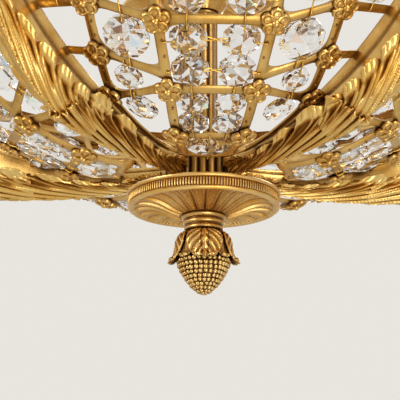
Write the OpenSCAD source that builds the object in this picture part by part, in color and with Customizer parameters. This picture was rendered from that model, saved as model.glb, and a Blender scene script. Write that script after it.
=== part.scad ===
// Brass basket pendant light with cut glass octagons, hung from a ceiling bracket by a loop and a link.
// Millimetres, Z up. The origin is on the ceiling, at the middle of the bracket, and all hangs below it.
// The front is at -Y. The basket has five lobes, and five arms lie in the valleys between them.

/* [Ceiling fitting] */
// Length of the ceiling bracket
bracket_len = 96; // [84:1:104]
// Width of the ceiling bracket
bracket_w = 22; // [18:1:26]
// Thickness of the ceiling bracket
bracket_t = 3; // [2.5:0.1:4]
// Distance between the two ceiling screws
bracket_pitch = 70; // [60:1:76]
// Radius of each ceiling screw hole
bracket_hole_r = 2.6; // [2:0.1:3]
// Outer radius of the canopy
canopy_r = 58; // [55:1:66]
// Height of the canopy
canopy_h = 30; // [27:1:34]
// Wall of the canopy
canopy_wall = 1.6; // [1.2:0.1:2]
// Radius of the hole in the canopy
canopy_hole_r = 13.5; // [13.2:0.1:14]
// Radius of the threaded nipple
nipple_r = 5; // [4:0.1:5.5]
// Bore of the nipple, where the wires pass
nipple_bore_r = 3.4; // [2.5:0.1:3.6]
// Radius of the screw collar
collar_r = 11.4; // [10.8:0.1:11.8]
// Height of the screw collar
collar_h = 12; // [11:0.5:15]
// Outer radius of the ring nut that holds the canopy up
ring_nut_r = 17; // [16:0.5:20]
// Height of the ring nut
ring_nut_h = 6; // [5:0.5:7]

/* [Loops and link] */
// Radius of the wire of both loops and of the link
wire_r = 2.2; // [1.8:0.1:2.4]
// Middle radius of each loop
loop_r = 8; // [7.6:0.1:8.4]
// Middle radius of the link
link_r = 12; // [11.5:0.5:14]

/* [Stem] */
// Outer radius of the stem tube
stem_r = 7; // [6:0.25:7.5]
// Bore of the stem tube
stem_bore_r = 5; // [4:0.25:5.5]
// Length of the stem between the loop's boss and the crown
stem_free = 72; // [60:1:100]
// Radius of the vase at the head of the stem
vase_r = 16; // [14.5:0.5:18]

/* [Crown] */
// Radius of the crown plate
crown_r = 34; // [32:1:38]
// Thickness of the crown plate
crown_t = 8; // [6:0.5:10]
// Radius of the bell under the crown
bell_r = 24; // [20:1:27]
// Height of the bell under the crown
bell_h = 22; // [18:1:26]
// Height of the crown plate above the rim band
crown_rise = 150; // [144:1:160]

/* [Basket] */
// Radius of the rim band's inner face
rim_r = 196; // [190:1:204]
// Height of the rim band
rim_h = 18; // [14:1:22]
// Thickness of the rim band
rim_t = 5; // [3.5:0.5:6]
// Height of the basket, from the dish's top plane to the rim
basket_h = 96; // [92:1:100]
// Radius at which the basket meets the hub
hub_r = 28; // [26:0.5:30]
// Height at which the arms leave the hub, above the dish
arm_foot_z = 16; // [14:0.5:18]
// Steepness of the valleys towards the rim
valley_power = 2.1; // [2:0.01:2.2]
// Height of the lobes' flat bottom above the dish
lobe_z = 6; // [5:0.5:7.5]
// Radius at which the lobes start to rise
lobe_r = 60; // [56:1:64]
// Steepness of the lobes towards the rim
lobe_power = 1.9; // [1.8:0.01:2]

/* [Trellis] */
// Width of a trellis strap
strap_w = 5.5; // [4.5:0.1:5.8]
// Thickness of a trellis strap
strap_t = 2; // [1.6:0.1:2.4]
// Angle of the inner ribs from the middle of a sector
rib_in_a = 11.2; // [10.4:0.2:12]
// Distance of the outer ribs from the middle of a sector, as a share of the rim's radius
rib_out_share = 0.2755; // [0.265:0.0005:0.286]
// Place of the lowest ring of bars, as a share of the way from the hub to the rim
ring_foot_share = 0.143; // [0.13:0.001:0.155]
// Place of the second ring of bars, as such a share
ring_c_share = 0.304; // [0.29:0.001:0.316]
// Place of the third ring of bars, as such a share
ring_b_share = 0.506; // [0.494:0.001:0.512]
// Place of the fourth ring of bars, as such a share
ring_a_share = 0.708; // [0.696:0.001:0.726]
// Place of the fifth ring of bars, as such a share
ring_top_share = 0.881; // [0.869:0.001:0.893]
// Radius of a rosette
rosette_r = 6.6; // [5:0.1:7]
// Thickness of a rosette
rosette_t = 2.6; // [2:0.1:3.2]

/* [Arms and leaves] */
// Width of an arm's strap
arm_w = 8; // [7:0.25:9]
// Lowest point of the leaves' midribs, above the dish
keel_z = 4.4; // [3.6:0.1:5.2]
// Half width of an acanthus leaf at its widest
leaf_half = 14; // [12:0.5:16]
// Depth of an acanthus leaf's trough at its widest
leaf_deep = 15; // [12:0.5:16]
// Thickness of an acanthus leaf
leaf_t = 1.8; // [1.4:0.1:2.2]
// Width of a scroll arm
scroll_w = 7; // [6:0.25:8]
// Depth of a scroll arm's band
scroll_d = 8; // [7:0.25:10]

/* [Dish and finial] */
// Radius of the dish
dish_r = 45; // [42:0.5:48]
// Height of the dish's coin edge
coin_h = 9; // [8:0.25:10]
// Depth of the dish below its coin edge
flare_h = 4.2; // [3.5:0.1:5.5]
// Wall of the dish
dish_wall = 2; // [1.6:0.1:2.4]
// Radius of the neck collar
neck_r = 12.6; // [11.5:0.1:13]
// Height of the neck collar
neck_h = 9.5; // [8.5:0.25:11]
// Height of the leafed calyx
calyx_h = 19.5; // [18:0.25:21]
// Radius of the calyx at its leaf tips
calyx_r = 20.5; // [19.5:0.25:22]
// Radius of the berry
berry_r = 15.4; // [14:0.2:16]
// Height of the berry below the leaf tips
berry_h = 18; // [16:0.5:20]
// Radius of the rod that holds the dish and the finial
rod_r = 4; // [3.2:0.1:4.4]

/* [Lamps] */
// Radius of the circle of lamps
lamp_ring_r = 55; // [48:1:60]
// Height of the lamp arms above the dish
lamp_z = 126; // [122:1:134]
// Radius of a lamp arm's tube
lamp_arm_r = 3.5; // [3:0.1:4]
// Radius of a candle sleeve
sleeve_r = 12; // [11:0.5:13]
// Height of a candle sleeve
sleeve_h = 36; // [30:1:42]
// Radius of a bulb
bulb_r = 15; // [13:0.5:17]
// Height of a bulb above its sleeve
bulb_h = 50; // [42:1:54]

/* [Glass] */
// Width of a large octagon, in the upper rows
glass_big = 20.5; // [19:0.25:21]
// Width of a small octagon, in the lower rows
glass_small = 16; // [15:0.25:17]
// Width of the octagon next to the hub
glass_hub = 23; // [20:0.5:24]
// Half of the gap between two glasses, where their wire passes
glass_gap = 0.6; // [0.5:0.1:0.9]
// Thickness of an octagon as a share of its width
glass_depth = 0.42; // [0.36:0.01:0.5]
// Side of a hanging pin
pin_w = 0.9; // [0.7:0.05:1]

/* [Hidden] */
$fn = 48;
sectors = 5;
sector_a = 360 / sectors;
front_a = -90;
// Clearance between pieces that do not touch
clear = 0.3;
// Clearance inside the rim band, more than the others as its round face is large
rim_gap = 0.7;
// Smallest running clearance on a pin or a thread
fit = 0.08;
// Overlap that joins shapes of one piece
eps = 0.01;

// Heights down the hanging line
canopy_top = -0.5;
canopy_low = canopy_top - canopy_h;
nut_t = 5;
collar_top = canopy_low + 4;
collar_low = collar_top - collar_h;
upper_loop_z = collar_low - loop_r + wire_r * 0.4;
pivot_x_z = upper_loop_z - loop_r;
link_top_z = pivot_x_z + 2 * wire_r + clear;
link_z = link_top_z - link_r;
pivot_y_z = link_z - link_r;
body_loop_z = pivot_y_z + 2 * wire_r + clear - loop_r;
boss_top = body_loop_z - loop_r + wire_r * 0.4;
boss_r = 7.5;
boss_h = 10;
vase_h = 22;
stem_top = boss_top - boss_h;
crown_z = stem_top - stem_free;
rim_z = crown_z - crown_rise;
dish_z = rim_z - basket_h;
nipple_top = -clear;
nipple_low = collar_top - 9;

// Heights below the dish's top plane
dish_low = -coin_h - flare_h;
neck_low = dish_low - neck_h;
calyx_low = neck_low - clear - calyx_h;
berry_low = calyx_low - berry_h;

// The hub drum and the stem's foot
drum_low = 0.6;
drum_top = arm_foot_z + 6;
drum_r = hub_r - 6;
arm_start = drum_r + clear;
stem_foot = 6;

// The hub that carries the lamp arms
lamp_hub_h = 24;
lamp_hub_r = stem_r + 9;
cup_h = 6.4;
cup_lip = 6.5;
cup_lip_h = 9.4;
sleeve_wall = 1.5;
sleeve_floor = 3;
bulb_neck_r = 7;

// Radii of the rings of bars, from the hub up
ring_foot_r = mix(hub_r, rim_r, ring_foot_share);
ring_c_r = mix(hub_r, rim_r, ring_c_share);
ring_b_r = mix(hub_r, rim_r, ring_b_share);
ring_a_r = mix(hub_r, rim_r, ring_a_share);
ring_top_r = mix(hub_r, rim_r, ring_top_share);

// Rings of the side columns: where they leave the inner rib, and how far they drop or climb to the outer rib
ring_c_drop = (ring_c_r - ring_foot_r) * 0.074;
ring_low_drop = (ring_b_r - ring_c_r) * 0.265;
ring_mid_in = mix(ring_b_r, ring_a_r, 0.235);
ring_mid_climb = (ring_a_r - ring_b_r) * 0.294;
ring_a_climb = (ring_top_r - ring_a_r) * 0.276;
ring_top_climb = (rim_r - ring_top_r) * 0.1;

// Distance of the outer ribs from a sector's middle, how fast they spread, and their gap to the arm near the hub
rib_out_x = rim_r * rib_out_share;
rib_spread = 0.22;
rib_arm_gap = 1;

// Unit vector along v
function unit(v) = v / norm(v);
// Value between a and b
function mix(a, b, f) = a + (b - a) * f;
// Point of a cubic curve with four handles
function bezier(p, f) = p[0] * pow(1 - f, 3) + 3 * p[1] * f * pow(1 - f, 2)
    + 3 * p[2] * f * f * (1 - f) + p[3] * pow(f, 3);

// Share of the way from the hub to the rim at radius r
function reach(r) = (r - hub_r) / (rim_r - hub_r);
// Height of the valley line, in which an arm lies
function valley_z(r) = arm_foot_z + (basket_h - arm_foot_z) * pow(max(0, reach(r)), valley_power);
// Height of a lobe's middle line: flat near the hub, then rising to the rim
function lobe_line_z(r) = lobe_z + (basket_h - lobe_z) * pow(max(0, r - lobe_r) / (rim_r - lobe_r), lobe_power);

// Outer face of the basket at radius r and at an angle b from the sector's middle, in heights above the dish
function basket_point(r, b) =
    let (w = b / (sector_a / 2))
    [r * sin(b), -r * cos(b), mix(lobe_line_z(r), valley_z(r), w * w)];
// Way up the face, for one step of radius
function basket_rise(r, b) = basket_point(r + 0.5, b) - basket_point(r - 0.5, b);
// Outward normal of the face
function basket_normal(r, b) =
    unit(cross(basket_point(r, b + 0.5) - basket_point(r, b - 0.5), basket_rise(r, b)));

// Angle from the sector's middle at which the trellis meets the side of an arm
function edge_b(r) = sector_a / 2 - asin((arm_w / 2 + clear) / r);
// Angles of the inner and the outer rib: the ribs run nearly side by side, and near the hub they follow the arm
function rib_in_b(r) = rib_in_a * (1 + 0.25 * max(0, ring_b_r - r) / (ring_b_r - ring_foot_r));
function rib_out_b(r) = min(asin(min(1, (rib_out_x + rib_spread * (r - ring_b_r)) / r)),
    edge_b(r) - asin((strap_w / 2 + rib_arm_gap) / r));
// Angle at share u across half a panel: 0 the middle, 1 the inner rib, 2 the outer rib, 3 the edge
function across(u, r) = sign(u) * (abs(u) <= 1 ? abs(u) * rib_in_b(r)
    : abs(u) <= 2 ? mix(rib_in_b(r), rib_out_b(r), abs(u) - 1) : mix(rib_out_b(r), edge_b(r), abs(u) - 2));
// Radius of a ring at share u, for a ring that leaves the inner rib at radius r and climbs to the outer rib
function ring_r(r, climb, u) = r + climb * min(1, max(0, abs(u) - 1));
// Half of a strap's width, as a step of radius
function half_rise(r, b) = strap_w / 2 / norm(basket_rise(r, b));
ring_rim_r = rim_r - rim_gap - half_rise(rim_r, 0);

// Puts a sector's shapes in place
module in_sector(k) {
    rotate([0, 0, sector_a * (k - 1)])
        translate([0, 0, dish_z])
            children();
}

// Puts an arm's shapes in place, with the arm along +X
module in_valley(k) {
    rotate([0, 0, front_a + sector_a * (k - 0.5)])
        translate([0, 0, dish_z])
            children();
}

// Turns +Z to the normal n, with +Y along the rise
module on_face(p, n, up) {
    side = cross(up, n);
    multmatrix([[side[0], up[0], n[0], p[0]], [side[1], up[1], n[1], p[1]],
        [side[2], up[2], n[2], p[2]], [0, 0, 0, 1]])
        children();
}

// The ceiling fitting

module ceiling_bracket() {
    color([0.72, 0.70, 0.66])
    difference() {
        translate([-bracket_len / 2, -bracket_w / 2, -bracket_t])
            cube([bracket_len, bracket_w, bracket_t]);
        for (s = [-1, 1])
            translate([s * bracket_pitch / 2, 0, -bracket_t - 1])
                cylinder(r = bracket_hole_r, h = bracket_t + 2);
        translate([0, 0, -bracket_t - 1])
            cylinder(r = nipple_r + fit, h = bracket_t + 2);
    }
}

module threaded_nipple() {
    color([0.80, 0.66, 0.32])
    difference() {
        translate([0, 0, nipple_low])
            cylinder(r = nipple_r, h = nipple_top - nipple_low);
        translate([0, 0, nipple_low - 1])
            cylinder(r = nipple_bore_r, h = nipple_top - nipple_low + 2);
    }
}

module lock_nut() {
    color([0.72, 0.70, 0.66])
    translate([0, 0, -bracket_t - nut_t])
        difference() {
            cylinder(r = nipple_r + 4, h = nut_t, $fn = 6);
            translate([0, 0, -1])
                cylinder(r = nipple_r + fit, h = nut_t + 2, $fn = 48);
        }
}

module wire_ring(middle_r) {
    rotate([90, 0, 0])
        rotate_extrude()
            translate([middle_r, 0])
                circle(r = wire_r);
}

module screw_collar() {
    color([0.78, 0.60, 0.26]) {
        difference() {
            union() {
                translate([0, 0, collar_low])
                    cylinder(r = collar_r, h = collar_h);
                translate([0, 0, upper_loop_z])
                    wire_ring(loop_r);
            }
            translate([0, 0, nipple_low - 1])
                cylinder(r = nipple_r + fit, h = collar_h * 3);
        }
    }
}

module ring_nut() {
    color([0.80, 0.62, 0.28])
    translate([0, 0, canopy_low - ring_nut_h])
        difference() {
            union() {
                cylinder(r = ring_nut_r - 1.5, h = ring_nut_h);
                translate([0, 0, ring_nut_h / 4])
                    cylinder(r = ring_nut_r, h = ring_nut_h / 2);
            }
            translate([0, 0, -1])
                cylinder(r = collar_r + clear, h = ring_nut_h + 2);
        }
}

// Half section of the canopy's bowl, open to the ceiling
module canopy_section(inset) {
    r = canopy_r - inset;
    h = canopy_h - inset;
    polygon(concat([[0, 0], [r, 0]],
        [for (i = [0:12]) let (a = i * 7.5) [mix(canopy_hole_r + 6, r, cos(a)), -h * sin(a)]], [[0, -h]]));
}

module canopy() {
    color([0.80, 0.62, 0.28])
    translate([0, 0, canopy_top])
        rotate_extrude()
            difference() {
                canopy_section(0);
                translate([0, eps])
                    canopy_section(canopy_wall);
                translate([-1, -canopy_h - 1])
                    square([canopy_hole_r + 1, canopy_h + 3]);
                translate([-1, -eps])
                    square([canopy_r - canopy_wall + 1, 3]);
            }
}

// The hanging line

module suspension_link() {
    color([0.80, 0.62, 0.28])
    translate([0, 0, link_z])
        rotate([0, 0, 90])
            wire_ring(link_r);
}

module body_loop() {
    color([0.80, 0.62, 0.28])
    union() {
        translate([0, 0, body_loop_z])
            wire_ring(loop_r);
        translate([0, 0, boss_top - boss_h])
            cylinder(r = boss_r, h = boss_h);
    }
}

// Turned stem: a vase under the loop, then a tube down to the hub
module stem_tube() {
    foot = dish_z + stem_foot;
    color([0.80, 0.62, 0.28])
    difference() {
        union() {
            translate([0, 0, foot])
                cylinder(r = stem_r, h = stem_top - foot);
            translate([0, 0, stem_top - vase_h])
                rotate_extrude()
                    polygon([[0, 0], [stem_r + 1.5, 0], [stem_r + 2.5, vase_h * 0.15], [vase_r * 0.62, vase_h * 0.3],
                        [vase_r * 0.9, vase_h * 0.52], [vase_r, vase_h * 0.7], [vase_r * 0.92, vase_h * 0.86],
                        [boss_r + 2, vase_h], [0, vase_h]]);
        }
        translate([0, 0, foot - 1])
            cylinder(r = stem_bore_r, h = stem_top - foot - 3);
    }
}

// The crown

module crown_plate() {
    color([0.78, 0.60, 0.26])
    translate([0, 0, crown_z - crown_t])
        difference() {
            rotate_extrude()
                polygon([[0, 0], [crown_r - 3, 0], [crown_r, crown_t * 0.3], [crown_r, crown_t * 0.7],
                    [crown_r - 3, crown_t], [0, crown_t]]);
            translate([0, 0, -1])
                cylinder(r = stem_r + fit, h = crown_t + 2);
        }
}

module crown_bell() {
    color([0.80, 0.62, 0.28])
    translate([0, 0, crown_z - crown_t - bell_h])
        difference() {
            rotate_extrude()
                polygon([[0, 0], [stem_r + 3, 0], [stem_r + 3.5, bell_h * 0.3], [bell_r * 0.62, bell_h * 0.55],
                    [bell_r * 0.9, bell_h * 0.78], [bell_r, bell_h * 0.92], [bell_r, bell_h], [0, bell_h]]);
            translate([0, 0, -1])
                cylinder(r = stem_r + fit, h = bell_h + 2);
        }
}

module rim_band() {
    color([0.78, 0.60, 0.26])
    translate([0, 0, rim_z - rim_h / 2])
        rotate_extrude($fn = 144)
            polygon([[rim_r, 0], [rim_r + rim_t * 0.7, 0], [rim_r + rim_t, rim_h * 0.15],
                [rim_r + rim_t * 0.5, rim_h * 0.25], [rim_r + rim_t * 0.5, rim_h * 0.75],
                [rim_r + rim_t, rim_h * 0.85], [rim_r + rim_t * 0.7, rim_h], [rim_r, rim_h]]);
}

// The five S-shaped scroll arms from the rim band to the crown
scroll_foot_r = rim_r - scroll_d / 2 - rim_gap;
scroll_path = [[scroll_foot_r, basket_h + clear], [scroll_foot_r, basket_h + crown_rise * 0.66],
    [rim_r * 0.36, basket_h + crown_rise * 0.36], [crown_r + scroll_d / 2 + clear, basket_h + crown_rise - crown_t / 2]];
scroll_steps = 26;

function scroll_side(f, s) =
    let (p = bezier(scroll_path, f), run = unit(bezier(scroll_path, f + 0.01) - bezier(scroll_path, f - 0.01)))
    p + [run[1], -run[0]] * (s * scroll_d / 2);

module scroll_arm(k) {
    color([0.78, 0.60, 0.26])
    in_valley(k)
        rotate([90, 0, 0])
            translate([0, 0, -scroll_w / 2])
                linear_extrude(scroll_w)
                    intersection() {
                        polygon(concat([for (i = [0:scroll_steps]) scroll_side(i / scroll_steps, 1)],
                            [for (i = [scroll_steps:-1:0]) scroll_side(i / scroll_steps, -1)]));
                        translate([crown_r + clear, 0])
                            square([rim_r - crown_r - clear - rim_gap, basket_h + crown_rise + crown_t]);
                    }
}

// The basket's trellis

// Lines across the panel, each [radius at the inner ribs, climb to the outer ribs, side of the bar's middle].
// A bar lies between a line with side -1 and the next with side 1; the other lines only follow the curve.
function bar_lines(r, climb) = [[r, climb, -1], [r, climb, 1]];
function curve_line(low, low_climb, high, high_climb, f) = [[mix(low, high, f), mix(low_climb, high_climb, f), 0]];
trellis_rows = concat(
    bar_lines(ring_foot_r, 0),
    curve_line(ring_foot_r, 0, ring_c_r, -ring_c_drop, 0.5),
    bar_lines(ring_c_r, -ring_c_drop),
    curve_line(ring_c_r, -ring_c_drop, ring_b_r, -ring_low_drop, 0.5),
    bar_lines(ring_b_r, -ring_low_drop),
    bar_lines(ring_mid_in, ring_mid_climb),
    curve_line(ring_mid_in, ring_mid_climb, ring_a_r, ring_a_climb, 0.5),
    bar_lines(ring_a_r, ring_a_climb),
    curve_line(ring_a_r, ring_a_climb, ring_top_r, ring_top_climb, 0.5),
    bar_lines(ring_top_r, ring_top_climb),
    curve_line(ring_top_r, ring_top_climb, ring_rim_r, 0, 0.5),
    bar_lines(ring_rim_r, 0));

// Lines up the panel, each [share across, side of the rib's middle]; a rib lies between side -1 and side 1
trellis_cols = [[-3, 0], [-2, -1], [-2, 1], [-1.5, 0], [-1, -1], [-1, 1], [-0.5, 0], [0, 0],
    [0.5, 0], [1, -1], [1, 1], [1.5, 0], [2, -1], [2, 1], [3, 0]];

function grid_point(row, col, depth) =
    let (u = col[0], middle_r = ring_r(row[0], row[1], u), r = middle_r + row[2] * half_rise(middle_r, 0),
        b = across(u, r) + col[1] * asin(strap_w / 2 / r))
    basket_point(r, b) - basket_normal(r, b) * depth;

// Which cells of the grid are metal: every rib, and every bar except two that stop at a rib
row_count = len(trellis_rows) - 1;
col_count = len(trellis_cols) - 1;
function is_rib(j) = trellis_cols[j][1] == -1;
function is_middle(j) = abs(trellis_cols[j][0] + trellis_cols[j + 1][0]) < 2;
function is_bar(i, j) = trellis_rows[i][2] == -1
    && (trellis_rows[i][0] == ring_c_r ? is_middle(j) : trellis_rows[i][0] == ring_mid_in ? !is_middle(j) : true);
function is_metal(i, j) = i >= 0 && j >= 0 && i < row_count && j < col_count && (is_rib(j) || is_bar(i, j));

module trellis_panel(k) {
    cols = col_count + 1;
    n = (row_count + 1) * cols;
    points = [for (depth = [0, strap_t], row = trellis_rows, col = trellis_cols) grid_point(row, col, depth)];
    cells = [for (i = [0:row_count - 1], j = [0:col_count - 1]) if (is_metal(i, j)) [i, j, i * cols + j]];
    outer = [for (c = cells) let (a = c[2]) each [[a, a + cols, a + 1], [a + 1, a + cols, a + cols + 1]]];
    inner = [for (f = outer) [f[0] + n, f[2] + n, f[1] + n]];
    low = [for (c = cells) if (!is_metal(c[0] - 1, c[1])) let (a = c[2])
        each [[a, a + 1, n + a], [a + 1, n + a + 1, n + a]]];
    high = [for (c = cells) if (!is_metal(c[0] + 1, c[1])) let (a = c[2] + cols)
        each [[a, n + a, a + 1], [a + 1, n + a, n + a + 1]]];
    left = [for (c = cells) if (!is_metal(c[0], c[1] - 1)) let (a = c[2])
        each [[a, n + a, a + cols], [a + cols, n + a, n + a + cols]]];
    right = [for (c = cells) if (!is_metal(c[0], c[1] + 1)) let (a = c[2] + 1)
        each [[a, a + cols, n + a], [a + cols, n + a + cols, n + a]]];
    color([0.79, 0.61, 0.28])
    in_sector(k)
        polyhedron(points, concat(outer, inner, low, high, left, right));
}

// A rosette has five petals and a stud that stands above them
petals = 5;
stud_h = 1.2;

// Places of the rosettes of one sector, as [radius, share across]
rosette_places = concat(
    [for (s = [-1, 1], r = [ring_c_r, ring_b_r, ring_a_r, ring_top_r]) [r, s]],
    [for (s = [-2, 2], q = [[ring_b_r, -ring_low_drop], [ring_mid_in, ring_mid_climb], [ring_a_r, ring_a_climb],
        [ring_top_r, ring_top_climb]]) [q[0] + q[1], s]]);

module rosette(r, u) {
    b = across(u, r);
    n = basket_normal(r, b);
    petal_r = rosette_r * 0.44;
    on_face(basket_point(r, b) + n * clear, n, unit(basket_rise(r, b))) {
        linear_extrude(rosette_t)
            for (j = [0:petals - 1])
                rotate([0, 0, 360 / petals * j])
                    translate([0, rosette_r - petal_r])
                        circle(r = petal_r, $fn = 16);
        cylinder(r = petal_r * 0.7, h = rosette_t + stud_h, $fn = 24);
    }
}

module rosettes() {
    color([0.82, 0.64, 0.30])
    for (k = [1:sectors])
        in_sector(k)
            for (q = rosette_places)
                rosette(q[0], q[1]);
}

// The cut glass. Each hanging line is [share across, radius at its top, radius at its foot, count, glass width,
// room at the bars], with more room where the bars slant across the line
function ring_low_r(u) = ring_r(ring_b_r, -ring_low_drop, u);
function ring_mid_r(u) = ring_r(ring_mid_in, ring_mid_climb, u);
function ring_a_out_r(u) = ring_r(ring_a_r, ring_a_climb, u);
function ring_top_out_r(u) = ring_r(ring_top_r, ring_top_climb, u);
side_low_r = mix(ring_c_r, ring_b_r, 0.2);
room_mid = 0.3;
room_side = 0.8;
room_slant = 1.15;
glass_lines = [for (s = [-1, 1]) each [
    [s * 0.49, ring_rim_r, ring_top_r, 1, glass_big, room_mid],
    [s * 0.49, ring_top_r, ring_a_r, 2, glass_big, room_mid],
    [s * 0.49, ring_a_r, ring_b_r, 2, glass_big, room_mid],
    [s * 0.47, ring_b_r, ring_c_r, 2, glass_small, room_mid],
    [s * 1.5, ring_rim_r, ring_top_out_r(1.5), 1, glass_big, room_side],
    [s * 1.5, ring_top_out_r(1.5), ring_a_out_r(1.5), 1, glass_big, room_side],
    [s * 1.5, ring_a_out_r(1.5), ring_mid_r(1.5), 1, glass_big, room_side],
    [s * 1.6, ring_mid_r(1.6), ring_low_r(1.6), 1, glass_small, room_slant],
    [s * 1.55, ring_low_r(1.55), side_low_r, 1, glass_small, room_side],
    [s * 2.55, ring_rim_r, ring_top_out_r(2.5), 1, glass_big, room_slant],
    [s * 2.55, ring_top_out_r(2.5), ring_a_out_r(2.5), 1, glass_big, room_slant]]];
hub_line = [0, ring_c_r, ring_foot_r, 1, glass_hub, room_mid];

// Place in a hanging line, at fraction f of the way from its top to its foot
function line_end(q, r) = basket_point(r, across(q[0], r));
function line_point(q, f) = mix(line_end(q, q[1]), line_end(q, q[2]), f);
function line_normal(q) = let (r = (q[1] + q[2]) / 2) basket_normal(r, across(q[0], r));
function line_len(q) = norm(line_end(q, q[1]) - line_end(q, q[2]));
// Width of the glass in a line, kept inside the space between the two bars
function line_glass(q) = min(q[4], (line_len(q) - strap_w - 2 * q[5]) / q[3] - 2 * glass_gap);
// Middle of glass i in its line, the glasses close together in the middle of the space
function glass_at(q, i) = line_len(q) / 2 + (i - (q[3] - 1) / 2) * (line_glass(q) + 2 * glass_gap);

// An octagon cut with a flat table and a bevelled edge on each side
module octagon(w) {
    t = w * glass_depth;
    intersection_for (i = [0:3])
        rotate([0, 0, 45 * i])
            rotate([90, 0, 0])
                translate([0, 0, -w])
                    linear_extrude(2 * w)
                        polygon([[-w / 2, -t * 0.12], [-w / 2, t * 0.12], [-w * 0.26, t / 2], [w * 0.26, t / 2],
                            [w / 2, t * 0.12], [w / 2, -t * 0.12], [w * 0.26, -t / 2], [-w * 0.26, -t / 2]]);
}

module crystals(k) {
    color([0.92, 0.95, 0.98, 0.6])
    in_sector(k)
        for (q = concat(glass_lines, [hub_line]), i = [0:q[3] - 1]) {
            up = unit(line_point(q, 0) - line_point(q, 1));
            n = unit(line_normal(q) - up * (line_normal(q) * up));
            on_face(line_point(q, 0) - up * glass_at(q, i) - n * (strap_t / 2), n, up)
                octagon(line_glass(q));
        }
}

// Straight pins between the bars and the glass, square to be cheap to check; they stand for bent wire
module hanging_pins(k) {
    color([0.85, 0.68, 0.34])
    in_sector(k)
        for (q = concat(glass_lines, [hub_line])) {
            up = unit(line_point(q, 0) - line_point(q, 1));
            n = unit(line_normal(q) - up * (line_normal(q) * up));
            half = line_glass(q) / 2 + fit;
            for (i = [0:q[3]]) {
                top = i == 0 ? strap_w / 2 + q[5] : glass_at(q, i - 1) + half;
                low = i == q[3] ? line_len(q) - strap_w / 2 - q[5] : glass_at(q, i) - half;
                on_face(line_point(q, 0) - up * low - n * (strap_t / 2), n, up)
                    translate([-pin_w / 2, 0, -pin_w / 2])
                        cube([pin_w, low - top, pin_w]);
            }
        }
}

// The arms in the valleys

// Height of a leaf's midrib at radius r: nearly level, then rising to the rim as the valley does
function keel_line(r) = mix(keel_z, valley_z(r) - leaf_deep * 0.7, pow(max(0, reach(r)), 3.5));
// Half width of a leaf, and how far its sides rise above its midrib
function leaf_tail(r) = mix(1, 0.3, pow(max(0, (r - leaf_r1) / leaf_len + 0.27) / 0.27, 2));
function leaf_width(r) = mix(leaf_foot, leaf_half, sin(90 * min(1, (r - leaf_r0) / leaf_len / 0.5))) * leaf_tail(r);
function leaf_rise(r) = mix(leaf_foot_h, leaf_deep, pow(sin(90 * min(1, (r - leaf_r0) / leaf_len / 0.6)), 3))
    * leaf_tail(r);
// Underside of the arm, which lies in the leaf's trough
function arm_low(r) = keel_line(r) + leaf_t + clear
    + 1.15 * leaf_rise(r) * pow(arm_w / 2 / max(arm_w / 2 * 1.25, leaf_width(r) * 0.88), 1.3);

arm_steps = 20;
arm_top_step = 2;
leaf_foot = 5.5;
leaf_foot_h = 4.2;
leaf_start = 6;
leaf_end = 12;
leaf_r0 = hub_r + leaf_start;
leaf_r1 = rim_r - leaf_end;
leaf_len = leaf_r1 - leaf_r0;
arm_low_end = 4;
leaf_rows = 24;
leaf_cols = 8;

module arm_strap(k) {
    end_r = rim_r - rim_gap;
    low_r = leaf_r1 - arm_low_end;
    color([0.79, 0.61, 0.28])
    in_valley(k)
        rotate([90, 0, 0])
            translate([0, 0, -arm_w / 2])
                linear_extrude(arm_w)
                    polygon(concat(
                        [for (i = [0:arm_steps]) let (r = mix(arm_start, end_r, i / arm_steps))
                            [r, min(valley_z(r) + arm_top_step, basket_h)]],
                        [[end_r, basket_h - rim_h * 0.45]],
                        [for (i = [arm_steps:-1:0]) let (r = mix(arm_start, low_r, i / arm_steps)) [r, arm_low(r)]]));
}

// The edge's lobes: a wave along the leaf
function leaf_wave(i) = 1 + 0.12 * cos(360 * i / 4);
function leaf_point(i, j, lift) =
    let (r = mix(leaf_r0, leaf_r1, i / leaf_rows), v = 2 * j / leaf_cols - 1, wave = mix(1, leaf_wave(i), abs(v)))
    [r, v * leaf_width(r) * wave, keel_line(r) + leaf_rise(r) * pow(abs(v), 1.3) * wave + lift];

module acanthus_leaf(k) {
    rows = leaf_rows + 1;
    cols = leaf_cols + 1;
    n = rows * cols;
    points = concat([for (i = [0:leaf_rows], j = [0:leaf_cols]) leaf_point(i, j, 0)],
        [for (i = [0:leaf_rows], j = [0:leaf_cols]) leaf_point(i, j, leaf_t)]);
    under = [for (i = [0:leaf_rows - 1], j = [0:leaf_cols - 1]) let (a = i * cols + j)
        each [[a, a + cols, a + 1], [a + 1, a + cols, a + cols + 1]]];
    upper = [for (f = under) [f[0] + n, f[2] + n, f[1] + n]];
    first = [for (j = [0:leaf_cols - 1]) each [[j, j + 1, n + j], [j + 1, n + j + 1, n + j]]];
    last = [for (j = [0:leaf_cols - 1]) let (a = leaf_rows * cols + j)
        each [[a, n + a, a + 1], [a + 1, n + a, n + a + 1]]];
    left = [for (i = [0:leaf_rows - 1]) let (a = i * cols)
        each [[a, n + a, a + cols], [a + cols, n + a, n + a + cols]]];
    right = [for (i = [0:leaf_rows - 1]) let (a = i * cols + leaf_cols)
        each [[a, a + cols, n + a], [a + cols, n + a + cols, n + a]]];
    color([0.80, 0.62, 0.29])
    in_valley(k)
        polyhedron(points, concat(under, upper, first, last, left, right));
}

// The hub

module hub_drum() {
    color([0.76, 0.58, 0.25])
    translate([0, 0, dish_z + drum_low])
        difference() {
            cylinder(r = drum_r, h = drum_top - drum_low);
            translate([0, 0, stem_foot - drum_low - clear])
                cylinder(r = stem_r + fit, h = drum_top);
            translate([0, 0, -1])
                cylinder(r = rod_r + fit, h = drum_top);
        }
}

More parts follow.
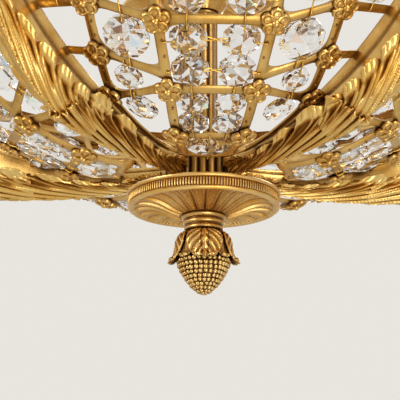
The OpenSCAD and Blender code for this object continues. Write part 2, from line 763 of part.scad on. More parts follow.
module hub_nut() {
    color([0.76, 0.58, 0.25])
    translate([0, 0, dish_z + drum_top])
        difference() {
            cylinder(r = stem_r + 5, h = 6, $fn = 6);
            translate([0, 0, -1])
                cylinder(r = stem_r + fit, h = 8, $fn = 48);
        }
}

// The dish: a coin edge over a shallow flare, open on top
module dish() {
    color([0.83, 0.65, 0.32])
    translate([0, 0, dish_z])
        difference() {
            rotate_extrude()
                polygon([[rod_r + fit, dish_low], [neck_r + 0.6, dish_low], [neck_r + 3.5, dish_low + 0.5],
                    [dish_r * 0.5, dish_low + 1.5], [dish_r * 0.68, dish_low + 2.2], [dish_r * 0.84, dish_low + 3],
                    [dish_r - 3.4, -coin_h - 0.3], [dish_r - 1.2, -coin_h], [dish_r - 0.4, -coin_h + 1],
                    [dish_r - 0.6, -coin_h + 2], [dish_r - 1.2, -coin_h + 2.4], [dish_r - 1.2, -2.4],
                    [dish_r - 0.4, -2], [dish_r, -1], [dish_r - 0.5, -0.2], [dish_r - 1.4, 0],
                    [dish_r - 3.2, 0], [dish_r - 4, -coin_h + 2], [dish_r * 0.8, -coin_h + 1.2],
                    [dish_r * 0.5, dish_low + 1.5 + dish_wall], [neck_r + 2, dish_low + 0.5 + dish_wall],
                    [rod_r + fit, dish_low + 0.5 + dish_wall]]);
        }
}

// The neck collar, with stepped rings
module neck_collar() {
    h = neck_h;
    color([0.72, 0.53, 0.22])
    translate([0, 0, dish_z + neck_low])
        rotate_extrude()
            polygon([[rod_r + fit, 0], [neck_r - 3, 0], [neck_r - 1.6, h * 0.04], [neck_r - 1.4, h * 0.16],
                [neck_r - 2.4, h * 0.2], [neck_r - 2.6, h * 0.3], [neck_r - 0.8, h * 0.38], [neck_r - 0.2, h * 0.48],
                [neck_r - 0.8, h * 0.58], [neck_r - 2.2, h * 0.62], [neck_r - 2.2, h * 0.74], [neck_r, h * 0.84],
                [neck_r + 0.4, h * 0.92], [neck_r, h], [rod_r + fit, h]]);
}

// The threaded rod from the hub drum to the finial
module finial_rod() {
    color([0.74, 0.60, 0.32])
    translate([0, 0, dish_z + neck_low - calyx_h * 0.6])
        cylinder(r = rod_r, h = stem_foot - clear * 2 - neck_low + calyx_h * 0.6);
}

// The calyx: a flaring cup cut into four big leaves
module finial_calyx() {
    h = calyx_h;
    color([0.66, 0.47, 0.18])
    translate([0, 0, dish_z + calyx_low])
        difference() {
            rotate_extrude()
                polygon([[0, h * 0.35], [berry_r * 0.8, h * 0.3], [berry_r + clear, h * 0.16], [berry_r + clear, -0.5],
                    [calyx_r - 2.5, -2], [calyx_r - 0.8, -2.4], [calyx_r, -1.6], [calyx_r - 1.2, h * 0.08],
                    [calyx_r - 3.6, h * 0.32], [calyx_r - 4.8, h * 0.6], [neck_r + 0.6, h * 0.85],
                    [neck_r - 1.2, h * 0.98], [neck_r - 2, h], [0, h]]);
            for (j = [0:3])
                rotate([0, 0, 45 + 90 * j])
                    rotate([90, 0, 90])
                        translate([0, 0, berry_r + 1.4])
                            linear_extrude(calyx_r)
                                polygon([[-5.5, -4], [5.5, -4], [0, h * 0.45]]);
            translate([0, 0, h * 0.35 - 1])
                cylinder(r = rod_r + fit, h = h);
        }
}

// The berry, a pointed round body
module finial_berry() {
    h = berry_h + calyx_h * 0.25;
    color([0.66, 0.47, 0.18])
    translate([0, 0, dish_z + berry_low])
        rotate_extrude()
            polygon(concat([for (i = [0:10]) let (a = 9 * i) [berry_r * pow(sin(a), 0.85), (h - 5) * (1 - cos(a))]],
                [[berry_r * 0.92, h - 2], [berry_r * 0.74, h], [0, h]]));
}

// The lamps, above the view of the basket's windows

module at_lamps() {
    for (k = [1:sectors])
        rotate([0, 0, front_a + sector_a * (k - 1)])
            translate([lamp_ring_r, 0, dish_z + lamp_z])
                children();
}

module lamp_hub() {
    color([0.78, 0.60, 0.26])
    translate([0, 0, dish_z + lamp_z - lamp_hub_h / 2])
        difference() {
            rotate_extrude()
                polygon([[0, 0], [mix(stem_r, lamp_hub_r, 0.35), 0], [mix(stem_r, lamp_hub_r, 0.8), lamp_hub_h * 0.2],
                    [lamp_hub_r, lamp_hub_h * 0.36], [lamp_hub_r, lamp_hub_h * 0.64],
                    [mix(stem_r, lamp_hub_r, 0.7), lamp_hub_h * 0.8], [mix(stem_r, lamp_hub_r, 0.35), lamp_hub_h],
                    [0, lamp_hub_h]]);
            translate([0, 0, -1])
                cylinder(r = stem_r + fit, h = lamp_hub_h + 2);
        }
}

module lamp_arms() {
    start = lamp_hub_r + clear;
    color([0.78, 0.60, 0.26])
    for (k = [1:sectors])
        rotate([0, 0, front_a + sector_a * (k - 1)])
            translate([start, 0, dish_z + lamp_z])
                rotate([0, 90, 0])
                    cylinder(r = lamp_arm_r, h = lamp_ring_r - start + lamp_arm_r);
}

module lamp_cups() {
    color([0.80, 0.62, 0.28])
    at_lamps()
        translate([0, 0, lamp_arm_r + fit])
            rotate_extrude()
                polygon([[0, 0], [sleeve_r / 2, 0], [sleeve_r, cup_h * 0.62], [sleeve_r + cup_lip * 0.92, cup_lip_h * 0.85],
                    [sleeve_r + cup_lip, cup_lip_h], [sleeve_r + cup_lip * 0.15, cup_h], [0, cup_h]]);
}

module candle_sleeves() {
    color([0.95, 0.92, 0.84])
    at_lamps()
        translate([0, 0, lamp_arm_r + fit + cup_h])
            difference() {
                cylinder(r = sleeve_r, h = sleeve_h);
                translate([0, 0, sleeve_floor])
                    cylinder(r = sleeve_r - sleeve_wall, h = sleeve_h);
            }
}

module bulbs() {
    color([0.95, 0.95, 0.92])
    at_lamps()
        translate([0, 0, lamp_arm_r + fit + cup_h + sleeve_floor])
            rotate_extrude()
                polygon(concat([[0, 0], [bulb_neck_r, 0], [bulb_neck_r, sleeve_h - sleeve_floor]],
                    [for (i = [0:9]) let (a = 20 * i) [mix(bulb_neck_r + 1, bulb_r, sin(a)) * (i == 9 ? 0 : 1),
                        sleeve_h + bulb_h * (1 - cos(a)) / 2]]));
}

ceiling_bracket();
threaded_nipple();
lock_nut();
screw_collar();
ring_nut();
canopy();
suspension_link();
body_loop();
stem_tube();
crown_plate();
crown_bell();
rim_band();
hub_drum();
hub_nut();
dish();
neck_collar();
finial_rod();
finial_calyx();
finial_berry();
lamp_hub();
lamp_arms();
lamp_cups();
candle_sleeves();
bulbs();
rosettes();
for (k = [1:sectors]) trellis_panel(k);
for (k = [1:sectors]) crystals(k);
for (k = [1:sectors]) hanging_pins(k);
for (k = [1:sectors]) arm_strap(k);
for (k = [1:sectors]) acanthus_leaf(k);
for (k = [1:sectors]) scroll_arm(k);
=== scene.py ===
# %% [markdown]
# # A brass basket chandelier with cut glass
# The light hangs from a ceiling bracket by a loop and one link. Its basket is a lattice of brass
# straps in five lobes, hung with octagons of cut glass; five arms with cast leaves run in the
# valleys between the lobes, and a dish and a berry finial close the underside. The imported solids
# come in first. They settle every size and every joint, so each piece made here stands on them.

# %% Load the frame
from math import asin, atan2, cos, degrees, pi, radians, sin

import bmesh
import bpy
import numpy as np
from mathutils import Matrix, Vector


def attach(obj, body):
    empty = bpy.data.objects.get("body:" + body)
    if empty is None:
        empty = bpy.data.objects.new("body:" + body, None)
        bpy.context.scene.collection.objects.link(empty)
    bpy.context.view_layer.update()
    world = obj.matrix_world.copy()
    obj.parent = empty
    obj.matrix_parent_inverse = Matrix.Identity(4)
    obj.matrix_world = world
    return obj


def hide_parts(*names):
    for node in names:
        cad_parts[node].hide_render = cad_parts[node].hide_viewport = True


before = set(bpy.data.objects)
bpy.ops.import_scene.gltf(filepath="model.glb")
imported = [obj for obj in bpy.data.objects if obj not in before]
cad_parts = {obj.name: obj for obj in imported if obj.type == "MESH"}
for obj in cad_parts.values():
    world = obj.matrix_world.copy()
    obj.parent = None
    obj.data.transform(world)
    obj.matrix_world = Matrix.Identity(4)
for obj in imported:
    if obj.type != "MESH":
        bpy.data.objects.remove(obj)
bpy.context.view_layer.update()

MM = 0.001

# %% [markdown]
# The photograph is a close view of the light's underside, from about sixteen degrees below the
# dish. A long lens close by gives the same crossing of near and far straps, so the camera is made
# first: everything after it can be checked against the photograph. A small shift puts the dish
# where the photograph has it, a little above the middle.

# %% Camera
DISH_Z = -411.34
CAMERA_REACH = 730.0
CAMERA_RISE, CAMERA_TURN = radians(-16.3), radians(-92.3)


def in_scene(name, data):
    thing = bpy.data.objects.new(name, data)
    bpy.context.scene.collection.objects.link(thing)
    return thing


camera = in_scene("camera", bpy.data.cameras.new("camera"))
bpy.context.scene.camera = camera
aim = Vector((0, 0, DISH_Z)) * MM
away = Vector((cos(CAMERA_RISE) * cos(CAMERA_TURN), cos(CAMERA_RISE) * sin(CAMERA_TURN),
               sin(CAMERA_RISE)))
camera.location = aim + away * CAMERA_REACH * MM
camera.rotation_euler = (-away).to_track_quat("-Z", "Y").to_euler()
camera.data.lens = 112.5
camera.data.sensor_width = 36.0
camera.data.shift_x = -0.00925
camera.data.shift_y = -0.015
camera.data.clip_start = 0.01
print("camera at", [round(c, 3) for c in camera.location])

# %% [markdown]
# Shader maths reads best as plain arithmetic. A small class wraps the output of a node and lets
# it be added, multiplied and compared like a number; each operation adds one Math node. A second
# class holds a tree and makes any other node in one call.

# %% Shader arithmetic
class Wire:
    """The output of a node, which can be used in arithmetic."""

    def __init__(self, tree, socket):
        self.tree, self.socket = tree, socket

    def maths(self, operation, first, second):
        node = self.tree.nodes.new("ShaderNodeMath")
        node.operation = operation
        fill(self.tree, node, {0: first, 1: second})
        return Wire(self.tree, node.outputs[0])

    def __add__(self, other): return self.maths("ADD", self, other)
    def __radd__(self, other): return self.maths("ADD", other, self)
    def __sub__(self, other): return self.maths("SUBTRACT", self, other)
    def __rsub__(self, other): return self.maths("SUBTRACT", other, self)
    def __mul__(self, other): return self.maths("MULTIPLY", self, other)
    def __rmul__(self, other): return self.maths("MULTIPLY", other, self)
    def at_most(self, other): return self.maths("MINIMUM", self, other)
    def at_least(self, other): return self.maths("MAXIMUM", self, other)


def fill(tree, node, sockets):
    for key, value in sockets.items():
        if isinstance(value, Wire):
            tree.links.new(value.socket, node.inputs[key])
        else:
            node.inputs[key].default_value = value


class Tree:
    """A shader tree, with one call for any node."""

    def __init__(self, tree):
        self.tree = tree
        tree.nodes.clear()

    def node(self, kind, settings=None, sockets=None, out=0):
        node = self.tree.nodes.new(kind)
        for key, value in (settings or {}).items():
            setattr(node, key, value)
        fill(self.tree, node, sockets or {})
        return Wire(self.tree, node.outputs[out]) if len(node.outputs) else node

    def number(self, name):
        return self.node("ShaderNodeAttribute", {"attribute_name": name}, out=2)

    def noise(self, where, scale, detail, **more):
        return self.node("ShaderNodeTexNoise", None,
                         {"Vector": where, "Scale": scale, "Detail": detail, **more})

    def chance(self, number):
        return self.node("ShaderNodeTexWhiteNoise", {"noise_dimensions": "1D"}, {"W": number})

    def colours(self, share, first, second):
        ends = [c if isinstance(c, Wire) else (*c, 1.0) for c in (first, second)]
        return self.node("ShaderNodeMix", {"data_type": "RGBA"},
                         {0: share, 6: ends[0], 7: ends[1]}, out=2)


class Finish(Tree):
    """A material and its tree."""

    def __init__(self, name):
        self.material = bpy.data.materials.new(name)
        self.material.use_nodes = True
        super().__init__(self.material.node_tree)

    def close(self, shader):
        self.node("ShaderNodeOutputMaterial", None, {"Surface": shader})
        return self.material


print("arithmetic ready")

# %% [markdown]
# A pale room with one broad lamp in front, a cooler one at the side and one each below and behind
# is enough: brass takes its look from what it mirrors, and glass from what is behind it.
# The pale colour of the world is what the camera, mirrors and glass see, and a plainer light falls
# on the rest, so colours come out about as they are written.

# %% Room and lamps
for name, spot, power, size, tint in (
        ("key_lamp", (0.75, -1.25, 0.35), 16.0, 0.7, (1.0, 0.97, 0.92)),
        ("side_lamp", (-1.4, -0.7, -0.25), 9.0, 0.8, (0.95, 0.97, 1.0)),
        ("low_lamp", (0.35, -0.9, -1.25), 5.0, 0.7, (1.0, 0.96, 0.9)),
        ("back_lamp", (0.2, 1.5, 0.3), 10.0, 0.9, (1.0, 0.98, 0.95))):
    lamp = in_scene(name, bpy.data.lights.new(name, "AREA"))
    lamp.data.energy, lamp.data.size, lamp.data.color = power, size, tint
    lamp.location = Vector(spot)
    lamp.rotation_euler = (aim - lamp.location).to_track_quat("-Z", "Y").to_euler()
    lamp.visible_transmission = False

world = bpy.data.worlds.new("pale_room")
bpy.context.scene.world = world
world.use_nodes = True
room = Tree(world.node_tree)
by_camera, by_mirror, by_glass = (room.node("ShaderNodeLightPath", out=ray) for ray in (
    "Is Camera Ray", "Is Glossy Ray", "Is Transmission Ray"))
seen = room.node("ShaderNodeBackground", None, {"Color": (0.807, 0.783, 0.737, 1.0)})
falls = room.node("ShaderNodeBackground", None, {"Color": (1.0, 0.98, 0.95, 1.0), "Strength": 0.55})
either = room.node("ShaderNodeMixShader", None, {
    0: by_camera.at_least(by_mirror).at_least(by_glass), 1: falls, 2: seen})
room.node("ShaderNodeOutputWorld", None, {"Surface": either})
bpy.context.scene.view_settings.view_transform = "Standard"
print("room ready")

# %% [markdown]
# Old cast brass is never one colour. Its ridges are rubbed to a pale gold, its hollows keep a brown layer
# of lacquer and dust, and soft clouds of either lie over the rest. A piece with relief carries a number
# named recess, 0 on a ridge and 1 in a groove, and Ambient Occlusion finds the corners between pieces.
# Both darken the metal: the grooves partly as that brown layer and partly as painted shade, the corners
# between pieces as painted shade alone. A fine grain roughens it.

# %% Brass
def brass(name, bright, middle, deep, rough=0.26, grain=0.35, cloud_size=0.02, corner=0.9,
          stipple=0.0):
    m = Finish(name)
    where = m.node("ShaderNodeTexCoord", out=3)
    cloud = m.noise(where, 1 / cloud_size, 4.0, Roughness=0.6)
    speck = m.noise(where, 900.0, 2.0)
    open_air = m.node("ShaderNodeAmbientOcclusion", {"samples": 4}, {"Distance": 0.007}, out=1)
    shade = ((cloud - 0.38) * 3.0).at_most(1.0).at_least(0.0)
    # The recess number darkens grooves as dust and painted shade, Ambient Occlusion darkens corners
    # between pieces as painted shade, and the speck is random tone.
    dust_and_painted_shade = m.number("recess") * 0.85 + (1 - open_air) * corner + (speck - 0.55) * 0.5
    height = speck * grain
    if stipple:
        dots = m.node("ShaderNodeTexVoronoi", {"feature": "F1"}, {"Vector": where, "Scale": 1 / 0.0009})
        panel = m.number("panel")
        height = height + dots * panel * stipple
        # The punch marks are darker in their pits: painted shade.
        dust_and_painted_shade = dust_and_painted_shade + (0.62 - dots) * panel * 0.7
    dust_and_painted_shade = dust_and_painted_shade.at_most(1.0).at_least(0.0)
    roughness = rough + shade * 0.10 + dust_and_painted_shade * 0.22 + (speck - 0.5) * 0.12
    bump = m.node("ShaderNodeBump", None, {"Strength": 0.35, "Distance": 0.00012, "Height": height})
    return m.close(m.node("ShaderNodeBsdfPrincipled", None, {
        "Base Color": m.colours(dust_and_painted_shade, m.colours(shade, bright, middle), deep), "Metallic": 1.0,
        "Roughness": roughness.at_most(0.9).at_least(0.08), "Normal": bump,
        "Coat Weight": 0.35, "Coat Roughness": 0.16}))


CAST_BRASS = brass("cast_brass", (0.88, 0.58, 0.18), (0.64, 0.32, 0.042), (0.20, 0.068, 0.004))
STRAP_BRASS = brass("strap_brass", (0.80, 0.52, 0.16), (0.56, 0.285, 0.038), (0.17, 0.06, 0.004),
                    rough=0.27)
LEAF_BRASS = brass("leaf_brass", (0.97, 0.68, 0.23), (0.82, 0.45, 0.07), (0.38, 0.175, 0.022),
                   rough=0.27, grain=0.6, corner=0.7)
DISH_BRASS = brass("dish_brass", (0.96, 0.65, 0.23), (0.80, 0.43, 0.07), (0.25, 0.09, 0.008),
                   rough=0.30, stipple=1.6)
FINIAL_BRASS = brass("finial_brass", (0.88, 0.60, 0.21), (0.62, 0.32, 0.05), (0.15, 0.05, 0.004),
                     rough=0.24)
# A darkened copy of brass, painted shade for the parts that sit in shadow: the fluted drum, the stem and
# the hub nut.
PAINTED_SHADE_BRASS = brass("painted_shade_brass", (0.42, 0.24, 0.06), (0.32, 0.16, 0.025), (0.10, 0.035, 0.003),
                    rough=0.36, cloud_size=0.05)
SMOOTH_BRASS = brass("smooth_brass", (0.82, 0.54, 0.18), (0.70, 0.39, 0.07), (0.24, 0.09, 0.006),
                     rough=0.22, grain=0.15, cloud_size=0.05)
WIRE_BRASS = brass("wire_brass", (0.90, 0.58, 0.12), (0.72, 0.40, 0.045), (0.26, 0.10, 0.006),
                   rough=0.18, grain=0.1)
print("brass finishes ready")

# %% [markdown]
# Cut glass is clear, but an eye sees in it the room, broken up: some facets bend the light to a grey
# corner, some to brass, and a few split it into colours. Real refraction does most of that here. A random
# number for each facet adds the rest: a faint grey, brown, blue or amber colour painted on as painted
# reflection, and for about half of the facets a clear look straight through to the wall.

# %% Glass and the plain finishes
# Painted reflection: colours painted on the facets in place of grey corners, brass and split light.
PAINTED_REFLECTIONS = [(0.0, (0.99, 0.99, 0.99)), (0.60, (0.86, 0.87, 0.88)), (0.72, (0.95, 0.93, 0.90)),
         (0.79, (0.46, 0.46, 0.45)), (0.84, (0.62, 0.48, 0.32)), (0.90, (0.95, 0.80, 0.45)),
         (0.93, (0.50, 0.72, 0.97)), (0.96, (0.95, 0.62, 0.45)), (0.98, (0.60, 0.92, 0.68))]


def cut_glass(name):
    m = Finish(name)
    facet, stone = m.number("facet"), m.number("stone")
    # Each facet's colour is a painted reflection, picked by its random number.
    tint = m.node("ShaderNodeValToRGB", None, {"Fac": m.chance(facet * 17.0 + stone * 31.0)})
    ramp = tint.socket.node.color_ramp
    ramp.interpolation = "CONSTANT"
    while len(ramp.elements) < len(PAINTED_REFLECTIONS):
        ramp.elements.new(1.0)
    for stop, (share, colour) in zip(ramp.elements, PAINTED_REFLECTIONS):
        stop.position, stop.color = share, (*colour, 1.0)
    body = m.node("ShaderNodeBsdfPrincipled", None, {
        "Base Color": tint, "Roughness": 0.0, "IOR": 1.33, "Transmission Weight": 1.0})
    straight = m.chance(facet * 43.0 + stone * 11.0)
    see_through = ((straight - 0.5) * 40.0).at_most(0.88).at_least(0.0)
    clear = m.node("ShaderNodeBsdfTransparent", None, {"Color": (0.98, 0.985, 0.99, 1.0)})
    return m.close(m.node("ShaderNodeMixShader", None, {0: see_through, 1: body, 2: clear}))


def plain_finish(name, light, dark, rough, metallic=0.0, size=0.01, coat=0.0):
    m = Finish(name)
    where = m.node("ShaderNodeTexCoord", out=3)
    share = ((m.noise(where, 1 / size, 5.0) - 0.3) * 2.2).at_most(1.0).at_least(0.0)
    bump = m.node("ShaderNodeBump", None, {
        "Strength": 0.15, "Distance": 0.00008, "Height": m.noise(where, 1500.0, 2.0)})
    return m.close(m.node("ShaderNodeBsdfPrincipled", None, {
        "Base Color": m.colours(share, light, dark), "Metallic": metallic,
        "Roughness": rough + share * 0.12, "Normal": bump, "Coat Weight": coat}))


CRYSTAL = cut_glass("cut_crystal")
ZINC = plain_finish("zinc_steel", (0.62, 0.61, 0.58), (0.40, 0.39, 0.37), 0.34, metallic=1.0)
IVORY = plain_finish("sleeve_ivory", (0.80, 0.74, 0.60), (0.70, 0.62, 0.46), 0.42, size=0.02)
OPAL = plain_finish("bulb_opal", (0.88, 0.87, 0.83), (0.80, 0.79, 0.74), 0.12, size=0.03, coat=0.4)
print("glass ready")

# %% [markdown]
# Every piece below is a list of points in millimetres and a list of faces, worked out with
# ordinary functions. One helper turns them into a Blender object at the origin, with its numbers
# as attributes, smooth faces and sharp edges where two faces meet at a steep angle.

# %% Mesh helpers
def shape(name, points, faces, material, fields=None, sharp=38, flat=False):
    mesh = bpy.data.meshes.new(name)
    mesh.from_pydata([tuple(float(c) * MM for c in p) for p in points], [],
                     [tuple(int(i) for i in f) for f in faces])
    mesh.validate()
    for key, values in (fields or {}).items():
        attribute = mesh.attributes.new(key, "FLOAT", "POINT")
        attribute.data.foreach_set("value", np.asarray(values, dtype=np.float32))
    mesh.materials.append(material)
    if flat:
        mesh.shade_flat()
    else:
        mesh.shade_smooth()
        mesh.set_sharp_from_angle(angle=radians(sharp))
    return in_scene(name, mesh)


def tidy(piece, weld=0.00001, sharp=38):
    """Merges doubled points and turns the faces outward."""
    work = bmesh.new()
    work.from_mesh(piece.data)
    bmesh.ops.remove_doubles(work, verts=work.verts, dist=weld)
    bmesh.ops.recalc_face_normals(work, faces=work.faces)
    work.to_mesh(piece.data)
    work.free()
    piece.data.shade_smooth()
    piece.data.set_sharp_from_angle(angle=radians(sharp))
    return piece


def thicken(piece, thickness, edge=0.0, even=True):
    """Gives a sheet its thickness, and its edges a small round."""
    solid = piece.modifiers.new("thickness", "SOLIDIFY")
    solid.thickness, solid.offset = thickness * MM, -1.0
    solid.use_even_offset, solid.use_quality_normals = even, True
    if edge:
        bevel = piece.modifiers.new("edge", "BEVEL")
        bevel.width, bevel.segments = edge * MM, 2
        bevel.limit_method, bevel.angle_limit = "ANGLE", radians(50)
    return piece


def baked(piece):
    """The same object with its modifiers made plain mesh."""
    graph = bpy.context.evaluated_depsgraph_get()
    mesh = bpy.data.meshes.new_from_object(piece.evaluated_get(graph))
    piece.modifiers.clear()
    piece.data = mesh
    return piece


def grid_faces(rows, cols, around=False, first=0):
    faces = []
    for i in range(rows - 1):
        for j in range(cols if around else cols - 1):
            low, k = first + i * cols, (j + 1) % cols
            faces.append((low + j, low + k, low + cols + k, low + cols + j))
    return faces


def circle(count, start=0.0):
    return [start + 2 * pi * n / count for n in range(count)]


def lathe(name, outline, material, steps=96, field=None, sharp=38):
    """Turns a closed outline of (radius, height) about the vertical."""
    points = [(r * cos(a), r * sin(a), z) for r, z in outline for a in circle(steps)]
    recess = np.repeat(field if field else [0.0] * len(outline), steps)
    faces = grid_faces(len(outline), steps, around=True)
    return tidy(shape(name, points, faces, material, {"recess": recess}, sharp), sharp=sharp)


def place(piece, body, *nodes):
    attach(piece, body)
    if nodes:
        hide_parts(*nodes)
    print(piece.name, len(piece.data.polygons), "faces")


print("helpers ready")

# %% [markdown]
# The basket's skin follows one rule, the same as in the solids: a lobe's middle line is flat near
# the hub and then climbs, a valley climbs more evenly, and between them the height goes with the
# square of the angle. A point of the skin is given by its radius and its angle from the lobe's
# middle, so straps, flowers and glass can all be set on it exactly. Rings and ribs are numbered
# lines on it: u runs from -3 to 3 across a lobe, with the ribs at 1 and 2 and the arms at 3.

# %% The basket's skin
SECTORS = 5
SECTOR = 360 / SECTORS
RIM_Z = -315.34
HUB_R, RIM_R, BASKET_H = 28.0, 196.0, 96.0
ARM_FOOT_Z, VALLEY_POWER = 16.0, 2.1
LOBE_Z, LOBE_R, LOBE_POWER = 6.0, 60.0, 1.9
STRAP_W, STRAP_T, ARM_W, CLEAR, RIM_GAP = 5.5, 2.0, 8.0, 0.3, 0.7
FOOT, RING_C, RING_B, RING_MID, RING_A, RING_TOP = 52.0, 79.0, 113.0, 121.0, 147.0, 176.0


def mix(a, b, f): return a + (b - a) * f
def unit(v): return v / np.linalg.norm(v)
def angle_of(half, r): return degrees(asin(half / r))
def reach(r): return (r - HUB_R) / (RIM_R - HUB_R)
def valley_z(r): return mix(ARM_FOOT_Z, BASKET_H, max(0.0, reach(r)) ** VALLEY_POWER)
def lobe_z(r): return mix(LOBE_Z, BASKET_H, (max(0.0, r - LOBE_R) / (RIM_R - LOBE_R)) ** LOBE_POWER)


def skin(r, b):
    share = b / (SECTOR / 2)
    return np.array((r * sin(radians(b)), -r * cos(radians(b)),
                     mix(lobe_z(r), valley_z(r), share * share)))


def skin_rise(r, b): return skin(r + 0.5, b) - skin(r - 0.5, b)
def skin_out(r, b): return unit(np.cross(skin(r, b + 0.5) - skin(r, b - 0.5), skin_rise(r, b)))
def edge_b(r): return SECTOR / 2 - angle_of(ARM_W / 2 + CLEAR, r)
def rib_in_b(r): return 11.2 * (1 + 0.25 * max(0.0, RING_B - r) / (RING_B - FOOT))


def rib_out_b(r):
    return min(degrees(asin(min(1.0, (54 + 0.22 * (r - RING_B)) / r))),
               edge_b(r) - angle_of(STRAP_W / 2 + 1, r))


def across(u, r):
    """The angle of line u at radius r."""
    stops = (0.0, rib_in_b(r), rib_out_b(r), edge_b(r))
    a = abs(u)
    n = 0 if a <= 1 else 1 if a <= 2 else 2
    return (1 if u >= 0 else -1) * mix(stops[n], stops[n + 1], a - n)


def ring_r(r, climb, u): return r + climb * min(1.0, max(0.0, abs(u) - 1))
def half_rise(r): return STRAP_W / 2 / np.linalg.norm(skin_rise(r, 0))


RING_RIM = RIM_R - RIM_GAP - half_rise(RIM_R)
RINGS = [(FOOT, 0), (RING_C, -2), (RING_B, -9), (RING_MID, 10), (RING_A, 8), (RING_TOP, 2),
         (RING_RIM, 0)]


def in_sector(points, k, drop=DISH_Z):
    a = radians(SECTOR * (k - 1))
    turn = np.array(((cos(a), -sin(a), 0), (sin(a), cos(a), 0), (0, 0, 1)))
    return np.asarray(points) @ turn.T + np.array((0, 0, drop))


def on_skin(r, u, k, lift, aside=0.0):
    """A point over the skin of sector k, and the skin's outward and upward directions there."""
    b = across(u, r)
    out, up = skin_out(r, b), unit(skin_rise(r, b))
    point = skin(r, b) + out * lift + np.cross(up, out) * aside
    return in_sector([point], k)[0], *in_sector([out, up], k, drop=0.0)


print("rings at", [round(r, 1) for r, _ in RINGS])

# %% [markdown]
# A lattice panel was pierced and then bent to its mould. Its windows have rounded corners, and
# the straps a raised middle with sloped edges. The panel could be cut out with booleans, but a
# net of lines is cleaner: five lines along each strap shape its section, the lines between bars
# let it bend, and a fan of triangles rounds each window's corner. Solidify gives the thickness.

# %% Lattice panels
CROWN = {-1.0: 0.0, -0.58: 0.55, 0.0: 0.62, 0.58: 0.55, 1.0: 0.0}
CORNER_SHARE, CORNER_STEPS = 0.22, 5
SMALL_RING, MIDDLE_RING = 3, 1


def lattice_rows():
    rows = []
    for n, ring in enumerate(RINGS):
        rows += [(*ring, s, n) for s in CROWN]
        if n + 1 < len(RINGS):
            rows += [(ring, RINGS[n + 1], f, None)
                     for f in (CORNER_SHARE, 0.35, 0.5, 0.65, 1 - CORNER_SHARE)]
    return rows


def lattice_columns():
    columns = []
    stops = (-3, -2, -1, 1, 2, 3)
    for left, right in zip(stops[:-1], stops[1:]):
        columns += [(left, s, True) for s in CROWN] if abs(left) <= 2 else [(left, 0.0, False)]
        inner = (0.3, 0.43, 0.57, 0.7) if left == -1 else (0.4, 0.6)
        columns += [((left, right), f, None) for f in (CORNER_SHARE, *inner, 1 - CORNER_SHARE)]
    return columns + [(3, 0.0, False)]


def column_angle(column, r):
    half = angle_of(STRAP_W / 2, r)
    if column[2] is None:
        (left, right), f, _ = column
        return mix(across(left, r) + (half if abs(left) <= 2 else 0),
                   across(right, r) - (half if abs(right) <= 2 else 0), f)
    return across(column[0], r) + column[1] * half


def column_share(column):
    return mix(*column[0], column[1]) if column[2] is None else column[0]


def row_radius(row, u):
    if row[3] is None:
        a, b = ring_r(*row[0], u), ring_r(*row[1], u)
        return mix(a + half_rise(a), b - half_rise(b), row[2])
    middle = ring_r(row[0], row[1], u)
    return middle + row[2] * half_rise(middle)


